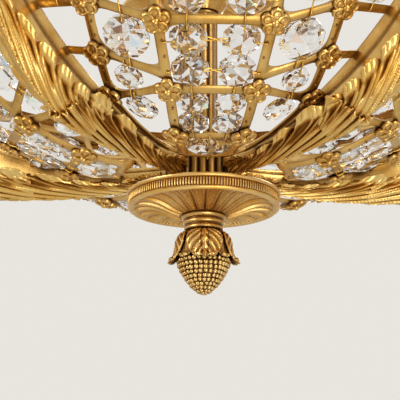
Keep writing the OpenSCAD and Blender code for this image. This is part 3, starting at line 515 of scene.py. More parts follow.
def lattice(name, k):
    rows, columns = lattice_rows(), lattice_columns()
    count = len(columns)

    def rib(j): return columns[j][2] is True and columns[j + 1][2] is True
    def middle(j): return abs(column_share(columns[j]) + column_share(columns[j + 1])) < 2

    def bar(i, j):
        ring = rows[i][3]
        if ring is None or ring != rows[i + 1][3]:
            return False
        return middle(j) if ring == MIDDLE_RING else not middle(j) if ring == SMALL_RING else True

    def metal(i, j):
        return 0 <= i < len(rows) - 1 and 0 <= j < count - 1 and (rib(j) or bar(i, j))

    def around(i, j): return [(i - a, j - b) for a in (0, 1) for b in (0, 1)]

    points, fields, faces = [], [], []
    for i, row in enumerate(rows):
        for j, column in enumerate(columns):
            near = around(i, j)
            inside = [(min(max(a, 0), len(rows) - 2), min(max(b, 0), count - 2)) for a, b in near]
            on_rib = CROWN.get(column[1], 0.0) if column[2] is True else 0.0
            barred = row[3] is not None and any(bar(*c) for c in inside)
            on_bar = CROWN.get(row[2], 0.0) if barred else 0.0
            lift = max(on_rib, on_bar) if any(metal(*c) for c in near) else 0.0
            r = row_radius(row, column_share(column))
            b = column_angle(column, r)
            points.append(skin(r, b) + skin_out(r, b) * (lift - CROWN[0.0]))
            # Points off a strap's raised middle, on its sloped edges, are darker: painted shade.
            fields.append(0.0 if lift > 0.3 else 0.35)
    for i in range(len(rows) - 1):
        for j in range(count - 1):
            if metal(i, j):
                a = i * count + j
                faces.append((a, a + count, a + count + 1, a + 1))
    # A window's corner, where a rib's edge meets a bar's edge, is filled with a small fan.
    for i in range(1, len(rows) - 1):
        for j in range(1, count - 1):
            for di, dj in ((1, 1), (1, -1), (-1, 1), (-1, -1)):
                wi, wj = (i if di > 0 else i - 1), (j if dj > 0 else j - 1)
                beside = (metal(wi, wj - dj), metal(wi - di, wj), metal(wi - di, wj - dj))
                if metal(wi, wj) or not all(beside):
                    continue
                if rows[i + di][3] is not None or columns[j + dj][2] is not None:
                    continue
                corner, up, side = i * count + j, (i + di) * count + j, i * count + j + dj
                p, q, t, far = (points[c] for c in (corner, up, side, up + dj))
                first = len(points)
                for n in range(1, CORNER_STEPS):
                    a = pi / 2 * n / CORNER_STEPS
                    x, y = 1 - cos(a), 1 - sin(a)
                    points.append(p * (1 - x) * (1 - y) + t * x * (1 - y) + q * (1 - x) * y + far * x * y)
                    # The window's rounded corner is darker too: painted shade.
                    fields.append(0.35)
                fan = [up, *range(first, len(points)), side]
                for a, b in zip(fan[:-1], fan[1:]):
                    faces.append((corner, a, b) if di * dj > 0 else (corner, b, a))
    used = sorted({n for f in faces for n in f})
    renamed = {n: m for m, n in enumerate(used)}
    piece = shape(name, in_sector([points[n] for n in used], k), [[renamed[n] for n in f] for f in faces],
                  STRAP_BRASS, {"recess": [fields[n] for n in used]})
    return thicken(tidy(piece, weld=0.000001), STRAP_T - 0.65, edge=0.22)


for k in range(1, SECTORS + 1):
    place(lattice(f"lattice_{k}", k), "chandelier", f"trellis_panel_{k}")
print("lattice panels:", SECTORS)

# %% [markdown]
# The dish under the hub was turned, then chased: its edge is cut into fine slots like a coin's,
# and its flare into twenty-two panels, each stippled with a small punch and parted by a pair of
# raised ribs. The panels follow one formula, so the flare is one fine net of points, and the
# number named panel says where the stipple goes.

# %% Dish flare and edge
COIN_H, FLARE_H, NECK_H, ROD_R = 9.0, 4.2, 9.5, 4.08
PANELS = 22
FLARE_LINE = [(41.4, -9.25), (40.7, -9.0), (39.8, -8.3), (38.2, -7.5), (35.8, -7.1), (33.0, -7.1),
              (30.0, -7.5), (27.0, -8.3), (24.0, -9.4), (21.0, -10.7), (18.4, -11.8), (16.4, -12.5),
              (14.8, -12.95), (13.2, -13.2)]


def on_line(line, share):
    at = share * (len(line) - 1)
    n = min(int(at), len(line) - 2)
    return mix(np.array(line[n]), np.array(line[n + 1]), at - n)


def hill(x, middle, width): return np.exp(-((x - middle) / width) ** 2)


def flare():
    rows, steps = 46, PANELS * 26
    points, recess, panel = [], [], []
    for i in range(rows):
        share = i / (rows - 1)
        r, z = on_line(FLARE_LINE, share)
        fade = min(1.0, share * 9, (1 - share) * 12)
        wide = mix(1.0, 1.2, share)
        for j in range(steps):
            beside = abs((j / steps * PANELS + 0.5) % 1 - 0.5)
            stippled = float(beside > 0.18 * wide)
            groove = hill(beside, 0, 0.04 * wide)
            sunk = (2 * max(0.0, beside - 0.17 * wide) / (1 - 0.34 * wide)) ** 2
            lift = fade * (0.95 * hill(beside, 0.098 * wide, 0.038 * wide) - 0.25 * groove + 0.175 * sunk)
            a = 2 * pi * (j / steps) - pi / 2
            points.append(((r + lift * 0.25) * cos(a), (r + lift * 0.25) * sin(a), z - lift))
            edge = hill(beside, 0.175 * wide, 0.028 * wide)
            # Darker in the groove between the ribs, at each panel's edge, on the stipple and towards the
            # neck: painted shade.
            dark = 0.8 * groove + 0.7 * edge + 0.25 * stippled
            recess.append(fade * dark + 0.5 * (1 - fade) * (share > 0.5))
            panel.append(fade * stippled)
    return points, grid_faces(rows, steps, around=True), {"recess": recess, "panel": panel}


points, faces, fields = flare()
dish_flare = shape("dish_flare", in_sector(points, 1), faces, DISH_BRASS, fields, sharp=80)
# The third number darkens the band behind the slots, the grooves and the underside as painted shade.
EDGE_LINE = [(41.4, -9.25, 0.5), (42.4, -9.55, 0.1), (43.4, -9.5, 0), (44.2, -9.05, 0),
             (44.55, -8.4, 0), (44.35, -7.75, 0), (43.75, -7.35, 0.3), (43.3, -7.2, 0.9),
             (43.3, -2.5, 0.9), (43.8, -2.3, 0.3), (44.5, -2.0, 0), (44.95, -1.4, 0),
             (44.95, -0.8, 0), (44.5, -0.25, 0), (43.6, 0.0, 0), (42.2, 0.0, 0), (41.4, -0.6, 0.2),
             (41.0, -5.0, 0.6), (34.0, -4.7, 0.7), (28.0, -6.2, 0.7), (22.5, -9.0, 0.7),
             (14.6, -10.7, 0.7), (ROD_R, -10.7, 0.5), (ROD_R, -13.15, 0.5), (13.2, -13.2, 0.5)]


def turned(name, line, foot, material, steps=96):
    """A lathe's piece from (radius, height, recess), with its heights counted from foot."""
    outline, recess = [(r, foot + z) for r, z, _ in line], [dark for _, _, dark in line]
    return lathe(name, outline, material, steps, recess)


place(tidy(dish_flare, sharp=80), "chandelier", "dish")
place(turned("dish_edge", EDGE_LINE, DISH_Z, DISH_BRASS, steps=240), "chandelier", "dish")

# %% [markdown]
# The slots of the coin edge are what repeats most on this light: 168 small rounded bars stand side
# by side on the edge's flat band. A Geometry Nodes tree sets a bar on each point of a circle and
# turns it to face out. The same tree later sets beads, flowers, glasses, wire holes and pearls: it
# takes a mesh of points, with a facing and a heading direction and a size on each, and the shape
# to set there. The tree itself is a table of nodes and a table of links.

# %% A tree that sets a shape on points
def geometry_tree(name, inputs, nodes, links):
    """Inputs by name, nodes by short name with settings and socket values, links as from > to."""
    tree = bpy.data.node_groups.new(name, "GeometryNodeTree")
    for socket, kind in {"Geometry": "Geometry", **inputs}.items():
        tree.interface.new_socket(socket, in_out="INPUT", socket_type=f"NodeSocket{kind}")
    tree.interface.new_socket("Geometry", in_out="OUTPUT", socket_type="NodeSocketGeometry")
    made = {"start": tree.nodes.new("NodeGroupInput"), "end": tree.nodes.new("NodeGroupOutput")}
    for key, (kind, settings, sockets) in nodes.items():
        made[key] = tree.nodes.new(kind)
        for setting, value in settings.items():
            setattr(made[key], setting, value)
        for socket, value in sockets.items():
            made[key].inputs[socket].default_value = value
    for link in links:
        (node, out), (goal, into) = (end.split(".") for end in link.split(" > "))
        tree.links.new(made[node].outputs[int(out) if out.isdigit() else out],
                       made[goal].inputs[int(into) if into.isdigit() else into])
    return tree


def named(kind, name): return "GeometryNodeInputNamedAttribute", {"data_type": kind}, {"Name": name}


SETTING = geometry_tree("set_on_points", {
    "Shape": "Object", "Size": "Float", "Material": "Material", "Seed": "Int"}, {
    "shaped": ("GeometryNodeObjectInfo", {}, {}),
    "facing": named("FLOAT_VECTOR", "facing"),
    "heading": named("FLOAT_VECTOR", "heading"),
    "size": named("FLOAT", "size"),
    "first": ("FunctionNodeAlignRotationToVector", {"axis": "Z"}, {}),
    "second": ("FunctionNodeAlignRotationToVector", {"axis": "Y", "pivot_axis": "Z"}, {}),
    "whole": ("ShaderNodeMath", {"operation": "MULTIPLY"}, {}),
    "stand": ("GeometryNodeInstanceOnPoints", {}, {}),
    "number": ("FunctionNodeRandomValue", {"data_type": "FLOAT"}, {}),
    "keep": ("GeometryNodeStoreNamedAttribute", {"data_type": "FLOAT", "domain": "INSTANCE"},
             {"Name": "stone"}),
    "real": ("GeometryNodeRealizeInstances", {}, {}),
    "paint": ("GeometryNodeSetMaterial", {}, {}),
}, ("start.Shape > shaped.Object", "facing.Attribute > first.Vector", "first.Rotation > second.Rotation",
    "heading.Attribute > second.Vector", "size.Attribute > whole.0", "start.Size > whole.1",
    "start.Geometry > stand.Points", "shaped.Geometry > stand.Instance",
    "second.Rotation > stand.Rotation", "whole.0 > stand.Scale", "start.Seed > number.Seed",
    "stand.Instances > keep.Geometry", "number.1 > keep.Value", "keep.Geometry > real.Geometry",
    "real.Geometry > paint.Geometry", "start.Material > paint.Material",
    "paint.Geometry > end.Geometry"))


def grown(piece, tree, **values):
    """The piece after the tree has worked on it with these inputs."""
    modifier = piece.modifiers.new("tree", "NODES")
    modifier.node_group = tree
    for socket in tree.interface.items_tree:
        if socket.in_out == "INPUT" and socket.name in values:
            modifier[socket.identifier] = values[socket.name]
    return baked(piece)


def set_on(name, spots, pattern, material, seed=1):
    """A mesh of the pattern set on each spot, given as (point, facing, heading, size)."""
    mesh = bpy.data.meshes.new(name)
    mesh.from_pydata([tuple(np.asarray(s[0]) * MM) for s in spots], [], [])
    for key, kind, field, at in (("facing", "FLOAT_VECTOR", "vector", 1),
                                 ("heading", "FLOAT_VECTOR", "vector", 2), ("size", "FLOAT", "value", 3)):
        mesh.attributes.new(key, kind, "POINT").data.foreach_set(
            field, np.array([s[at] for s in spots], dtype=np.float32).ravel())
    piece = grown(in_scene(name, mesh), SETTING, Shape=pattern, Size=1.0, Material=material, Seed=seed)
    for key in ("facing", "heading", "size"):
        if key in piece.data.attributes:
            piece.data.attributes.remove(piece.data.attributes[key])
    return piece


def pattern_of(piece):
    """Keeps a shape as a pattern, out of the finished scene."""
    for collection in list(piece.users_collection):
        collection.objects.unlink(piece)
    return piece


def ring_of_spots(count, r, z):
    """Places on a circle about the stem, each facing out and heading up."""
    outs = [np.array((cos(a), sin(a), 0.0)) for a in circle(count)]
    return [(out * r + np.array((0, 0, z)), out, (0, 0, 1), 1.0) for out in outs]


print("setting tree ready with", len(SETTING.nodes), "nodes")

# %% [markdown]
# The bar between two slots is a net of six by six points, with rounded flanks and ends. It is open
# at the back, which lies just inside the edge. It is drawn lying down, and the tree stands it up.

# %% Slots of the coin edge
def rounded_bar(name, wide, tall, deep):
    half, end = wide / 2, tall / 2
    section = [(-half, 0), (-half, deep * 0.55), (-wide * 0.28, deep * 0.92), (wide * 0.28, deep * 0.92),
               (half, deep * 0.55), (half, 0)]
    lines = [(-end, 0.0), (-end + deep * 0.4, 0.8), (-end + deep * 0.9, 1.0), (end - deep * 0.9, 1.0),
             (end - deep * 0.4, 0.8), (end, 0.0)]
    points = [(x, y, z * share) for y, share in lines for x, z in section]
    faces = grid_faces(len(lines), len(section))
    return shape(name, points, faces, DISH_BRASS, {"recess": [0.0] * len(points)}, sharp=70)


COIN_SLOTS, COIN_BAND_R, COIN_BAND_Z = 168, 43.25, -4.85
coin_bar = pattern_of(rounded_bar("coin_bar", 0.9, 4.9, 0.95))
slot_spots = ring_of_spots(COIN_SLOTS, COIN_BAND_R, DISH_Z + COIN_BAND_Z)
place(set_on("coin_edge", slot_spots, coin_bar, DISH_BRASS), "chandelier", "dish")

# %% [markdown]
# Over the dish stands the drum that the arms run into, and above it the stem. Both are fluted: a net
# turned about the stem, with its radius drawn in between rounded ribs. Both take the darkened brass as
# painted shade, and their flutes are darker still, painted shade between the ribs.

# %% Fluted drum and stem
def fluted(name, line, ribs, depth, finish, steps=400):
    """A turned outline of (radius, height, share of the fluting) with this many ribs."""
    points, recess = [], []
    for r, z, deep in line:
        for a in circle(steps):
            between = (1 - abs(sin(ribs / 2 * a))) ** 1.6
            drawn = r - depth * deep * between
            points.append((drawn * cos(a), drawn * sin(a), DISH_Z + z))
            # Darker in the flutes: painted shade.
            recess.append(0.25 + 0.75 * deep * between)
    faces = grid_faces(len(line), steps, around=True)
    return tidy(shape(name, points, faces, finish, {"recess": recess}, sharp=60), sharp=60)


DRUM_LINE = [(6.0, 0.6, 0), (20.0, 0.6, 0), (21.2, 1.0, 0.4), (21.9, 2.2, 1), (21.9, 5.0, 1),
             (21.5, 9.0, 1), (21.2, 13.0, 1), (21.5, 17.0, 1), (21.9, 20.0, 1), (21.3, 21.4, 0.4),
             (20.2, 22.0, 0), (6.0, 22.0, 0)]
STEM_LINE = [(6.5, 28.3, 0), (8.6, 28.3, 0), (8.9, 29.0, 0), (8.6, 30.2, 0), (8.3, 30.8, 0.2),
             (8.6, 32.0, 1), (8.6, 110.0, 1), (8.3, 111.2, 0.2), (8.6, 111.8, 0), (8.9, 113.0, 0),
             (8.6, 113.7, 0), (6.5, 113.7, 0)]
place(fluted("fluted_drum", DRUM_LINE, 25, 2.2, PAINTED_SHADE_BRASS), "chandelier", "hub_drum")
place(fluted("fluted_stem", STEM_LINE, 10, 1.5, PAINTED_SHADE_BRASS), "chandelier")

# %% [markdown]
# Between the dish and the finial sits a collar of stepped rings, turned from rod. One closed outline spun
# about the vertical makes it, with the recess number high in each narrow step as painted shade.

# %% Neck collar
NECK_LOW = -COIN_H - FLARE_H - NECK_H
NECK_STEPS = [(ROD_R, 0, 0.5), (9.6, 0, 0.5), (10.7, 0.02, 0.2), (11.3, 0.07, 0), (11.5, 0.14, 0),
              (11.4, 0.21, 0), (10.9, 0.27, 0.2), (10.55, 0.31, 0.9), (10.6, 0.34, 0.8),
              (11.2, 0.37, 0.2), (11.8, 0.42, 0), (12.1, 0.49, 0), (12.0, 0.56, 0),
              (11.5, 0.62, 0.2), (11.05, 0.66, 0.9), (11.1, 0.69, 0.8), (11.8, 0.73, 0.2),
              (12.5, 0.79, 0), (12.9, 0.86, 0), (12.8, 0.93, 0.1), (12.3, 0.99, 0.5),
              (ROD_R, 0.99, 0.5)]
neck_line = [(r, share * NECK_H, dark) for r, share, dark in NECK_STEPS]
place(turned("neck_rings", neck_line, DISH_Z + NECK_LOW, FINIAL_BRASS), "chandelier", "neck_collar")

# %% [markdown]
# The finial's cup is four big leaves with herringbone veins and turned-out tips, and four small
# plain ones behind them. Each leaf is a bent net: one number runs down the leaf, one across it.
# The veins are a wave over both, steeper where the real ones were cut in with a graver. Their grooves,
# the small leaves behind and the core under them are darker, as painted shade.

# %% Finial leaves
CALYX_H, BERRY_H, BERRY_R = 19.5, 18.0, 15.4
CALYX_LOW = NECK_LOW - CLEAR - CALYX_H
BERRY_LOW = CALYX_LOW - BERRY_H
CUP_LEAF_T = 1.1
CUP_LINE = [(11.6, 19.2), (13.6, 18.5), (15.2, 17.0), (16.3, 14.9), (16.9, 12.6), (17.2, 10.3),
            (17.5, 8.0), (18.0, 5.8), (18.8, 3.9), (19.8, 2.4), (20.45, 1.5), (20.3, 0.8)]
BIG_WIDTH = [30, 36, 40, 41, 40, 37, 32, 26.5, 21, 15.5, 9]
SMALL_WIDTH = [6, 10, 14, 17, 19, 20, 19, 17, 13, 8, 3]


def veined(t, s):
    """Lift and darkness of a big leaf, t down it and s across it."""
    wave = abs(cos(pi * (5.2 * (t - 0.46 * abs(s)) + 0.3))) ** 0.9
    midrib, beside, border = hill(s, 0, 0.09), hill(abs(s), 0.19, 0.06), hill(abs(s), 0.96, 0.07)
    lip = min(1.0, max(0.0, (t - 0.86) * 14))
    open_wave = 1 - max(midrib, border, lip)
    lift = 1.05 * wave * open_wave + midrib + 0.85 * border - 0.45 * beside + 0.9 * lip
    return lift, ((1 - wave) ** 1.3 * open_wave + 0.8 * beside) * (1 - lip)


def plain(t, s):
    rim = hill(t, 0.95, 0.06)
    return 0.4 * s * s + 0.3 * hill(s, 0, 0.12) + 0.8 * rim, (0.45 + 0.3 * (1 - t)) * (1 - rim)


def cup_leaf(name, middle, widths, start, end, drop, relief, rows=60, cols=57):
    points, recess = [], []
    for i in range(rows):
        t = i / (rows - 1)
        r, h = on_line(CUP_LINE, mix(start, end, t))
        half = on_line(widths, t)
        tip = max(0.0, (t - 0.82) / 0.18)
        for j in range(cols):
            s = 2 * j / (cols - 1) - 1
            lift, dark = relief(t, s)
            a = radians(middle + half * s)
            far = r + drop + lift + 0.5 * (1 - s * s) - 1.2 * tip * s * s
            z = DISH_Z + CALYX_LOW + h + 1.4 * tip * s * s
            points.append((far * cos(a), far * sin(a), z))
            recess.append(min(1.0, dark))
    leaf = shape(name, points, grid_faces(rows, cols), FINIAL_BRASS, {"recess": recess}, sharp=70)
    return thicken(tidy(leaf, weld=0.000001, sharp=70), CUP_LEAF_T, even=False)


CUP_CORE = [(r, h, 0.7) for r, h in (
    (ROD_R, 19.2), (10.8, 19.2), (12.2, 18.0), (13.4, 16.0), (14.0, 13.5), (14.2, 10.5), (14.3, 7.5),
    (14.0, 6.0), (ROD_R, 6.0))]
place(turned("cup_core", CUP_CORE, DISH_Z + CALYX_LOW, FINIAL_BRASS), "finial", "finial_calyx")
for n in range(4):
    for name, middle, *form in (("cup_leaf", -90, BIG_WIDTH, 0.02, 1.0, -1.6, veined),
                                ("cup_small_leaf", -45, SMALL_WIDTH, 0.22, 0.84, -2.9, plain)):
        place(cup_leaf(f"{name}_{n + 1}", middle + 90 * n, *form), "finial", "finial_calyx")

# %% [markdown]
# The berry is a pointed body set with about two hundred round beads in rows. Each row's radius gives how
# many beads fit in it, and the setting tree stands a small dome on each place, facing straight out. The
# body behind them is dark, painted shade in the gaps between the beads.

# %% Berry
def dome(name, radius, sides, rings, material, round_to=0.62):
    points, recess = [], []
    for i in range(rings):
        a = pi * round_to * (1 - i / rings)
        r, z = radius * sin(a), radius * cos(a)
        points += [(r * cos(b), r * sin(b), z) for b in circle(sides)]
        # Darker towards the foot, where the dome meets what it stands on: painted shade.
        recess += [max(0.0, 0.9 - 1.1 * i / rings)] * sides
    top = (rings - 1) * sides
    faces = grid_faces(rings, sides, around=True)
    faces += [(top + j, top + (j + 1) % sides, len(points)) for j in range(sides)]
    return shape(name, points + [(0, 0, radius)], faces, material, {"recess": recess + [0.0]}, sharp=80)


BERRY_LINE = [(0.0, 0.0), (2.0, 0.35), (3.9, 1.2), (5.6, 2.5), (7.2, 4.1), (8.7, 5.9), (10.0, 7.8),
              (11.3, 9.8), (12.5, 11.7), (13.5, 13.6), (14.3, 15.5), (14.9, 17.4), (15.2, 19.4)]
BERRY_STEPS, BEAD_R, ROW_PITCH, BEAD_PITCH, BEAD_SEAT = 900, 1.58, 2.8, 3.02, 0.75
bead = pattern_of(dome("bead", BEAD_R, 9, 5, FINIAL_BRASS))
chance = np.random.default_rng(11)
beads, rows, walked, next_row = [], 0, 0.0, 0.6
last = on_line(BERRY_LINE, 1.0)
for n in range(1, BERRY_STEPS):
    here = on_line(BERRY_LINE, 1 - n / BERRY_STEPS)
    step, last = here - last, here
    walked += np.hypot(*step)
    if walked < next_row or here[0] < 1.2:
        continue
    size = mix(1.0, 0.82, min(1.0, walked / 26))
    next_row += ROW_PITCH * size
    count = max(5, round(2 * pi * here[0] / (BEAD_PITCH * size)))
    out = unit(np.array((abs(step[1]), -abs(step[0]))))
    for m in range(count):
        b = 2 * pi * (m + 0.5 * (rows % 2) + chance.uniform(-0.09, 0.09)) / count
        r = here[0] - BEAD_SEAT
        high = here[1] + chance.uniform(-0.2, 0.2) + 0.8 - BEAD_SEAT * out[1]
        facing = (out[0] * cos(b), out[0] * sin(b), out[1])
        beads.append(((r * cos(b), r * sin(b), DISH_Z + BERRY_LOW + high), facing, (0, 0, 1),
                      size * chance.uniform(0.92, 1.12)))
    rows += 1
beads.append(((0, 0, DISH_Z + BERRY_LOW + 1.9), (0, 0, -1), (0, 1, 0), 1.0))
core = [on_line(BERRY_LINE, share) for share in np.linspace(0.4 / pi, 1, 14)]
body = [(0.01, 0.9), *((max(0.02, r - 1.0), z + 1.0) for r, z in core),
        (BERRY_R * 0.9, 20.0), (BERRY_R * 0.7, 22.4), (0.01, 22.4)]
# The body is darkened all over as painted shade between the beads.
place(turned("berry_body", [(r, z, 0.8) for r, z in body], DISH_Z + BERRY_LOW, FINIAL_BRASS, steps=72),
      "finial", "finial_berry")
place(set_on("berry_beads", beads, bead, FINIAL_BRASS), "finial", "finial_berry")
print("beads:", len(beads), "in rows:", rows)

# %% [markdown]
# Where the straps cross, a small flower covers the joint: five cupped petals round a bright stud.
# One flower of a few hundred faces is the pattern, and the setting tree puts it on the crossings,
# turned so that one petal points up the basket.

# %% Flowers on the crossings
ROSETTE_R, FLOWER_FULL, FLOWER_LIFT = 6.6, 1.16, 0.1
# The third numbers darken the inside of each cupped petal, the petals' feet and the stud's foot as
# painted shade.
PETAL = [(0.0, 1.85, 0.0), (0.28, 1.6, 0.05), (0.55, 1.45, 0.5), (0.76, 2.25, 0.0),
         (0.94, 2.05, 0.0), (1.04, 0.0, 0.95)]
STUD = [(1.7, 0.0, 0.9), (1.8, 1.6, 0.8), (1.75, 2.6, 0.1), (1.3, 3.5, 0.0), (0.6, 3.95, 0.0),
        (0.05, 4.05, 0.0)]


def flower(name):
    points, faces, recess = [], [], []
    petal = ROSETTE_R * 0.44
    for a in circle(5, pi / 2):
        x, y = cos(a) * (ROSETTE_R - petal), sin(a) * (ROSETTE_R - petal)
        faces += grid_faces(len(PETAL), 12, around=True, first=len(points))
        for share, height, dark in PETAL:
            for b in circle(12, a):
                r = petal * share * (1.0 + 0.14 * max(0.0, -cos(b - a)))
                cupped = 1 - 0.22 * (0.45 + share * cos(b - a))
                points.append((x + r * cos(b), y + r * sin(b), height * cupped + 0.35))
                recess.append(dark)
    faces += grid_faces(len(STUD), 10, around=True, first=len(points))
    for r, z, dark in STUD:
        points += [(r * cos(b), r * sin(b), z) for b in circle(10)]
        recess += [dark] * 10
    return tidy(shape(name, points, faces, CAST_BRASS, {"recess": recess}, sharp=60), sharp=60)


rosette = pattern_of(flower("flower"))
CROSSINGS = [(r, s) for s in (-1, 1) for r in (RING_C, RING_B, RING_A, RING_TOP)]
CROSSINGS += [(r + climb, s) for s in (-2, 2) for r, climb in RINGS[2:6]]
flower_spots = [(*on_skin(r, u, k, FLOWER_LIFT), FLOWER_FULL)
                for k in range(1, SECTORS + 1) for r, u in CROSSINGS]
place(set_on("flowers", flower_spots, rosette, CAST_BRASS), "chandelier", "rosettes")

# %% [markdown]
# The octagons are lead glass, ground with a star of flat facets on each side and drilled near
# the edge for their wires. A glass is eighty flat faces; the setting tree hangs one on each place
# of each line, and gives every stone its own number, so that no two break the light alike. Where
# a line has two glasses, the lower one stands a little further out.

# %% Cut glass
GLASS_BIG, GLASS_SMALL, GLASS_HUB, GLASS_GAP = 20.5, 16.0, 23.0, 0.6
ROOM_MID, ROOM_SIDE, ROOM_SLANT = 0.3, 0.8, 1.15
GLASS_FULL, GLASS_STEP = 1.12, 0.8
FREE_END, FREE_LOW = 1.55, 86.0


def octagon(name):
    points, faces = [], []
    for side in (1, -1):
        first = len(points)
        for n, a in enumerate(circle(16)):
            r = 0.54 if n % 2 else 0.512
            points.append((r * cos(a), r * sin(a), side * 0.045))
        points += [(0.36 * cos(a), 0.36 * sin(a), side * 0.120) for a in circle(8)]
        points.append((0, 0, side * 0.20))
        for n in range(8):
            before, at, behind = first + (2 * n - 1) % 16, first + 2 * n, first + 2 * n + 1
            here, after = first + 16 + n, first + 16 + (n + 1) % 8
            for face in ((here, before, at), (here, at, behind), (here, behind, after),
                         (here, after, first + 24)):
                faces.append(face if side > 0 else face[::-1])
    faces += [(n, 25 + n, 25 + (n + 1) % 16, (n + 1) % 16) for n in range(16)]
    stone = shape(name, points, faces, CRYSTAL, flat=True)
    shades = np.random.default_rng(7).random(len(faces)).astype(np.float32)
    stone.data.attributes.new("facet", "FLOAT", "FACE").data.foreach_set("value", shades)
    return stone


def ring_at(ring, u): return ring_r(*RINGS[ring], u)


# Each line: share across, radius at its top and at its foot, count, glass width, room at the bars.
HALF_LINES = [
    (0.49, RING_RIM, RING_TOP, 1, GLASS_BIG, ROOM_MID),
    (0.49, RING_TOP, RING_A, 2, GLASS_BIG, ROOM_MID),
    (0.49, RING_A, RING_B, 2, GLASS_BIG, ROOM_MID),
    (0.47, RING_B, RING_C, 2, GLASS_SMALL, ROOM_MID),
    (1.5, RING_RIM, ring_at(5, 1.5), 1, GLASS_BIG, ROOM_SIDE),
    (1.5, ring_at(5, 1.5), ring_at(4, 1.5), 1, GLASS_BIG, ROOM_SIDE),
    (1.5, ring_at(4, 1.5), ring_at(3, 1.5), 1, GLASS_BIG, ROOM_SIDE),
    (1.6, ring_at(3, 1.6), ring_at(2, 1.6), 1, GLASS_SMALL, ROOM_SLANT),
    (FREE_END, ring_at(2, FREE_END), FREE_LOW, 1, GLASS_SMALL, ROOM_SIDE),
    (2.55, RING_RIM, ring_at(5, 2.5), 1, GLASS_BIG, ROOM_SLANT),
    (2.55, ring_at(5, 2.5), ring_at(4, 2.5), 1, GLASS_BIG, ROOM_SLANT)]
GLASS_LINES = [(s * line[0], *line[1:]) for s in (-1, 1) for line in HALF_LINES]
GLASS_LINES.append((0, RING_C, FOOT, 1, GLASS_HUB, ROOM_MID))


def glass_line(line):
    """A line's top, direction, outward face and length, and its glasses' width and places."""
    u, high, low, count, wide, room_at_bar = line
    top, foot = skin(high, across(u, high)), skin(low, across(u, low))
    up = unit(top - foot)
    middle = (high + low) / 2
    out = skin_out(middle, across(u, middle))
    out = unit(out - up * np.dot(out, up))
    length = np.linalg.norm(top - foot)
    width = min(wide, (length - STRAP_W - 2 * room_at_bar) / count - 2 * GLASS_GAP)
    places = [length / 2 + (i - (count - 1) / 2) * (width + 2 * GLASS_GAP) for i in range(count)]
    return top - out * (STRAP_T / 2), up, out, length, width, places


octagon_glass = pattern_of(octagon("octagon"))
for k in range(1, SECTORS + 1):
    stones = []
    for line in GLASS_LINES:
        top, up, out, length, width, places = glass_line(line)
        directions = in_sector([out, up], k, drop=0.0)
        for n, at in enumerate(places):
            forward = GLASS_STEP * (n - 0.5) if len(places) > 1 else 0.0
            spot = in_sector([top - up * at + out * forward], k)[0]
            stones.append((spot, *directions, width * GLASS_FULL))
    place(set_on(f"glass_{k}", stones, octagon_glass, CRYSTAL, seed=k), "chandelier", f"crystals_{k}")
print("glasses in a sector:", len(stones))

# %% [markdown]
# The glasses hang on thin brass wire, bent by hand: each wire comes out of a hole in the strap,
# passes over its face and hooks into the hole of a glass. Where a strap has a glass above and one
# below, the two wires cross it as one. A second tree turns a run of points into round wire, so
# a wire is only its path: a few points measured from the strap's face.

# %% A tree that bends wire
BENDING = geometry_tree("bent_wire", {
    "Radius": "Float", "Sides": "Int", "Steps": "Int", "Material": "Material"}, {
    "path": ("GeometryNodeMeshToCurve", {}, {}),
    "spline": ("GeometryNodeCurveSplineType", {"spline_type": "CATMULL_ROM"}, {}),
    "fine": ("GeometryNodeSetSplineResolution", {}, {}),
    "ring": ("GeometryNodeCurvePrimitiveCircle", {}, {}),
    "wire": ("GeometryNodeCurveToMesh", {}, {"Fill Caps": True}),
    "paint": ("GeometryNodeSetMaterial", {}, {}),
}, ("start.Geometry > path.Mesh", "path.Curve > spline.Curve", "spline.Curve > fine.Geometry",
    "start.Steps > fine.Resolution", "start.Radius > ring.Radius", "start.Sides > ring.Resolution",
    "fine.Geometry > wire.Curve", "ring.Curve > wire.Profile Curve", "wire.Mesh > paint.Geometry",
    "start.Material > paint.Material", "paint.Geometry > end.Geometry"))


def bent_wires(name, paths, radius, material, sides=6, steps=3):
    """Round wire along each path, a list of points in millimetres."""
    points, edges = [], []
    for path in paths:
        edges += [(len(points) + i, len(points) + i + 1) for i in range(len(path) - 1)]
        points += [tuple(np.asarray(p) * MM) for p in path]
    mesh = bpy.data.meshes.new(name)
    mesh.from_pydata(points, edges, [])
    piece = grown(in_scene(name, mesh), BENDING, Radius=radius * MM, Sides=sides, Steps=steps,
                  Material=material)
    piece.data.shade_smooth()
    return piece


print("bending tree ready with", len(BENDING.nodes), "nodes")

# %% [markdown]
# A line of glasses has up to four kinds of wire. One hooks each end of the line into its nearest
# glass, one joins the two glasses of a line, one ties a glass to the rib beside it, and a crossed
# pair ties it to its neighbour over the lobe's middle. Each kind has a list of points: how far
# along the wire, how high over the face and, for the pair, how far to the side.

# %% Wires of the glasses
WIRE_R, HOLE_IN = 0.4, 2.1
JOINT = ((-1.0, -1.9), (-1.0, 0.2), (-0.6, 0.75), (0.0, 0.45), (0.6, 0.75), (1.0, 0.2), (1.0, -1.9))
TWIST = ((0.0, -1.9, 0.3), (0.0, 0.3, 0.6), (0.25, 0.7, 0.9), (0.5, 0.6, 0.0), (0.75, 0.7, -0.9),
         (1.0, 0.3, -0.6), (1.0, -1.9, -0.3))


def hook(rim):
    """From a strap's middle over its face and into the glass whose edge is rim mm away."""
    hole = rim + HOLE_IN
    return [(-1.5, -0.9), (-1.3, 0.55), (-0.4, 1.05), (1.2, 1.0), (STRAP_W / 2 + 0.1, 0.75),
            (rim * 0.5 + 1.3, 0.55), (rim + HOLE_IN * 0.45, 1.1), (hole - 0.2, 0.95), (hole, -0.2),
            (hole, -0.9)]


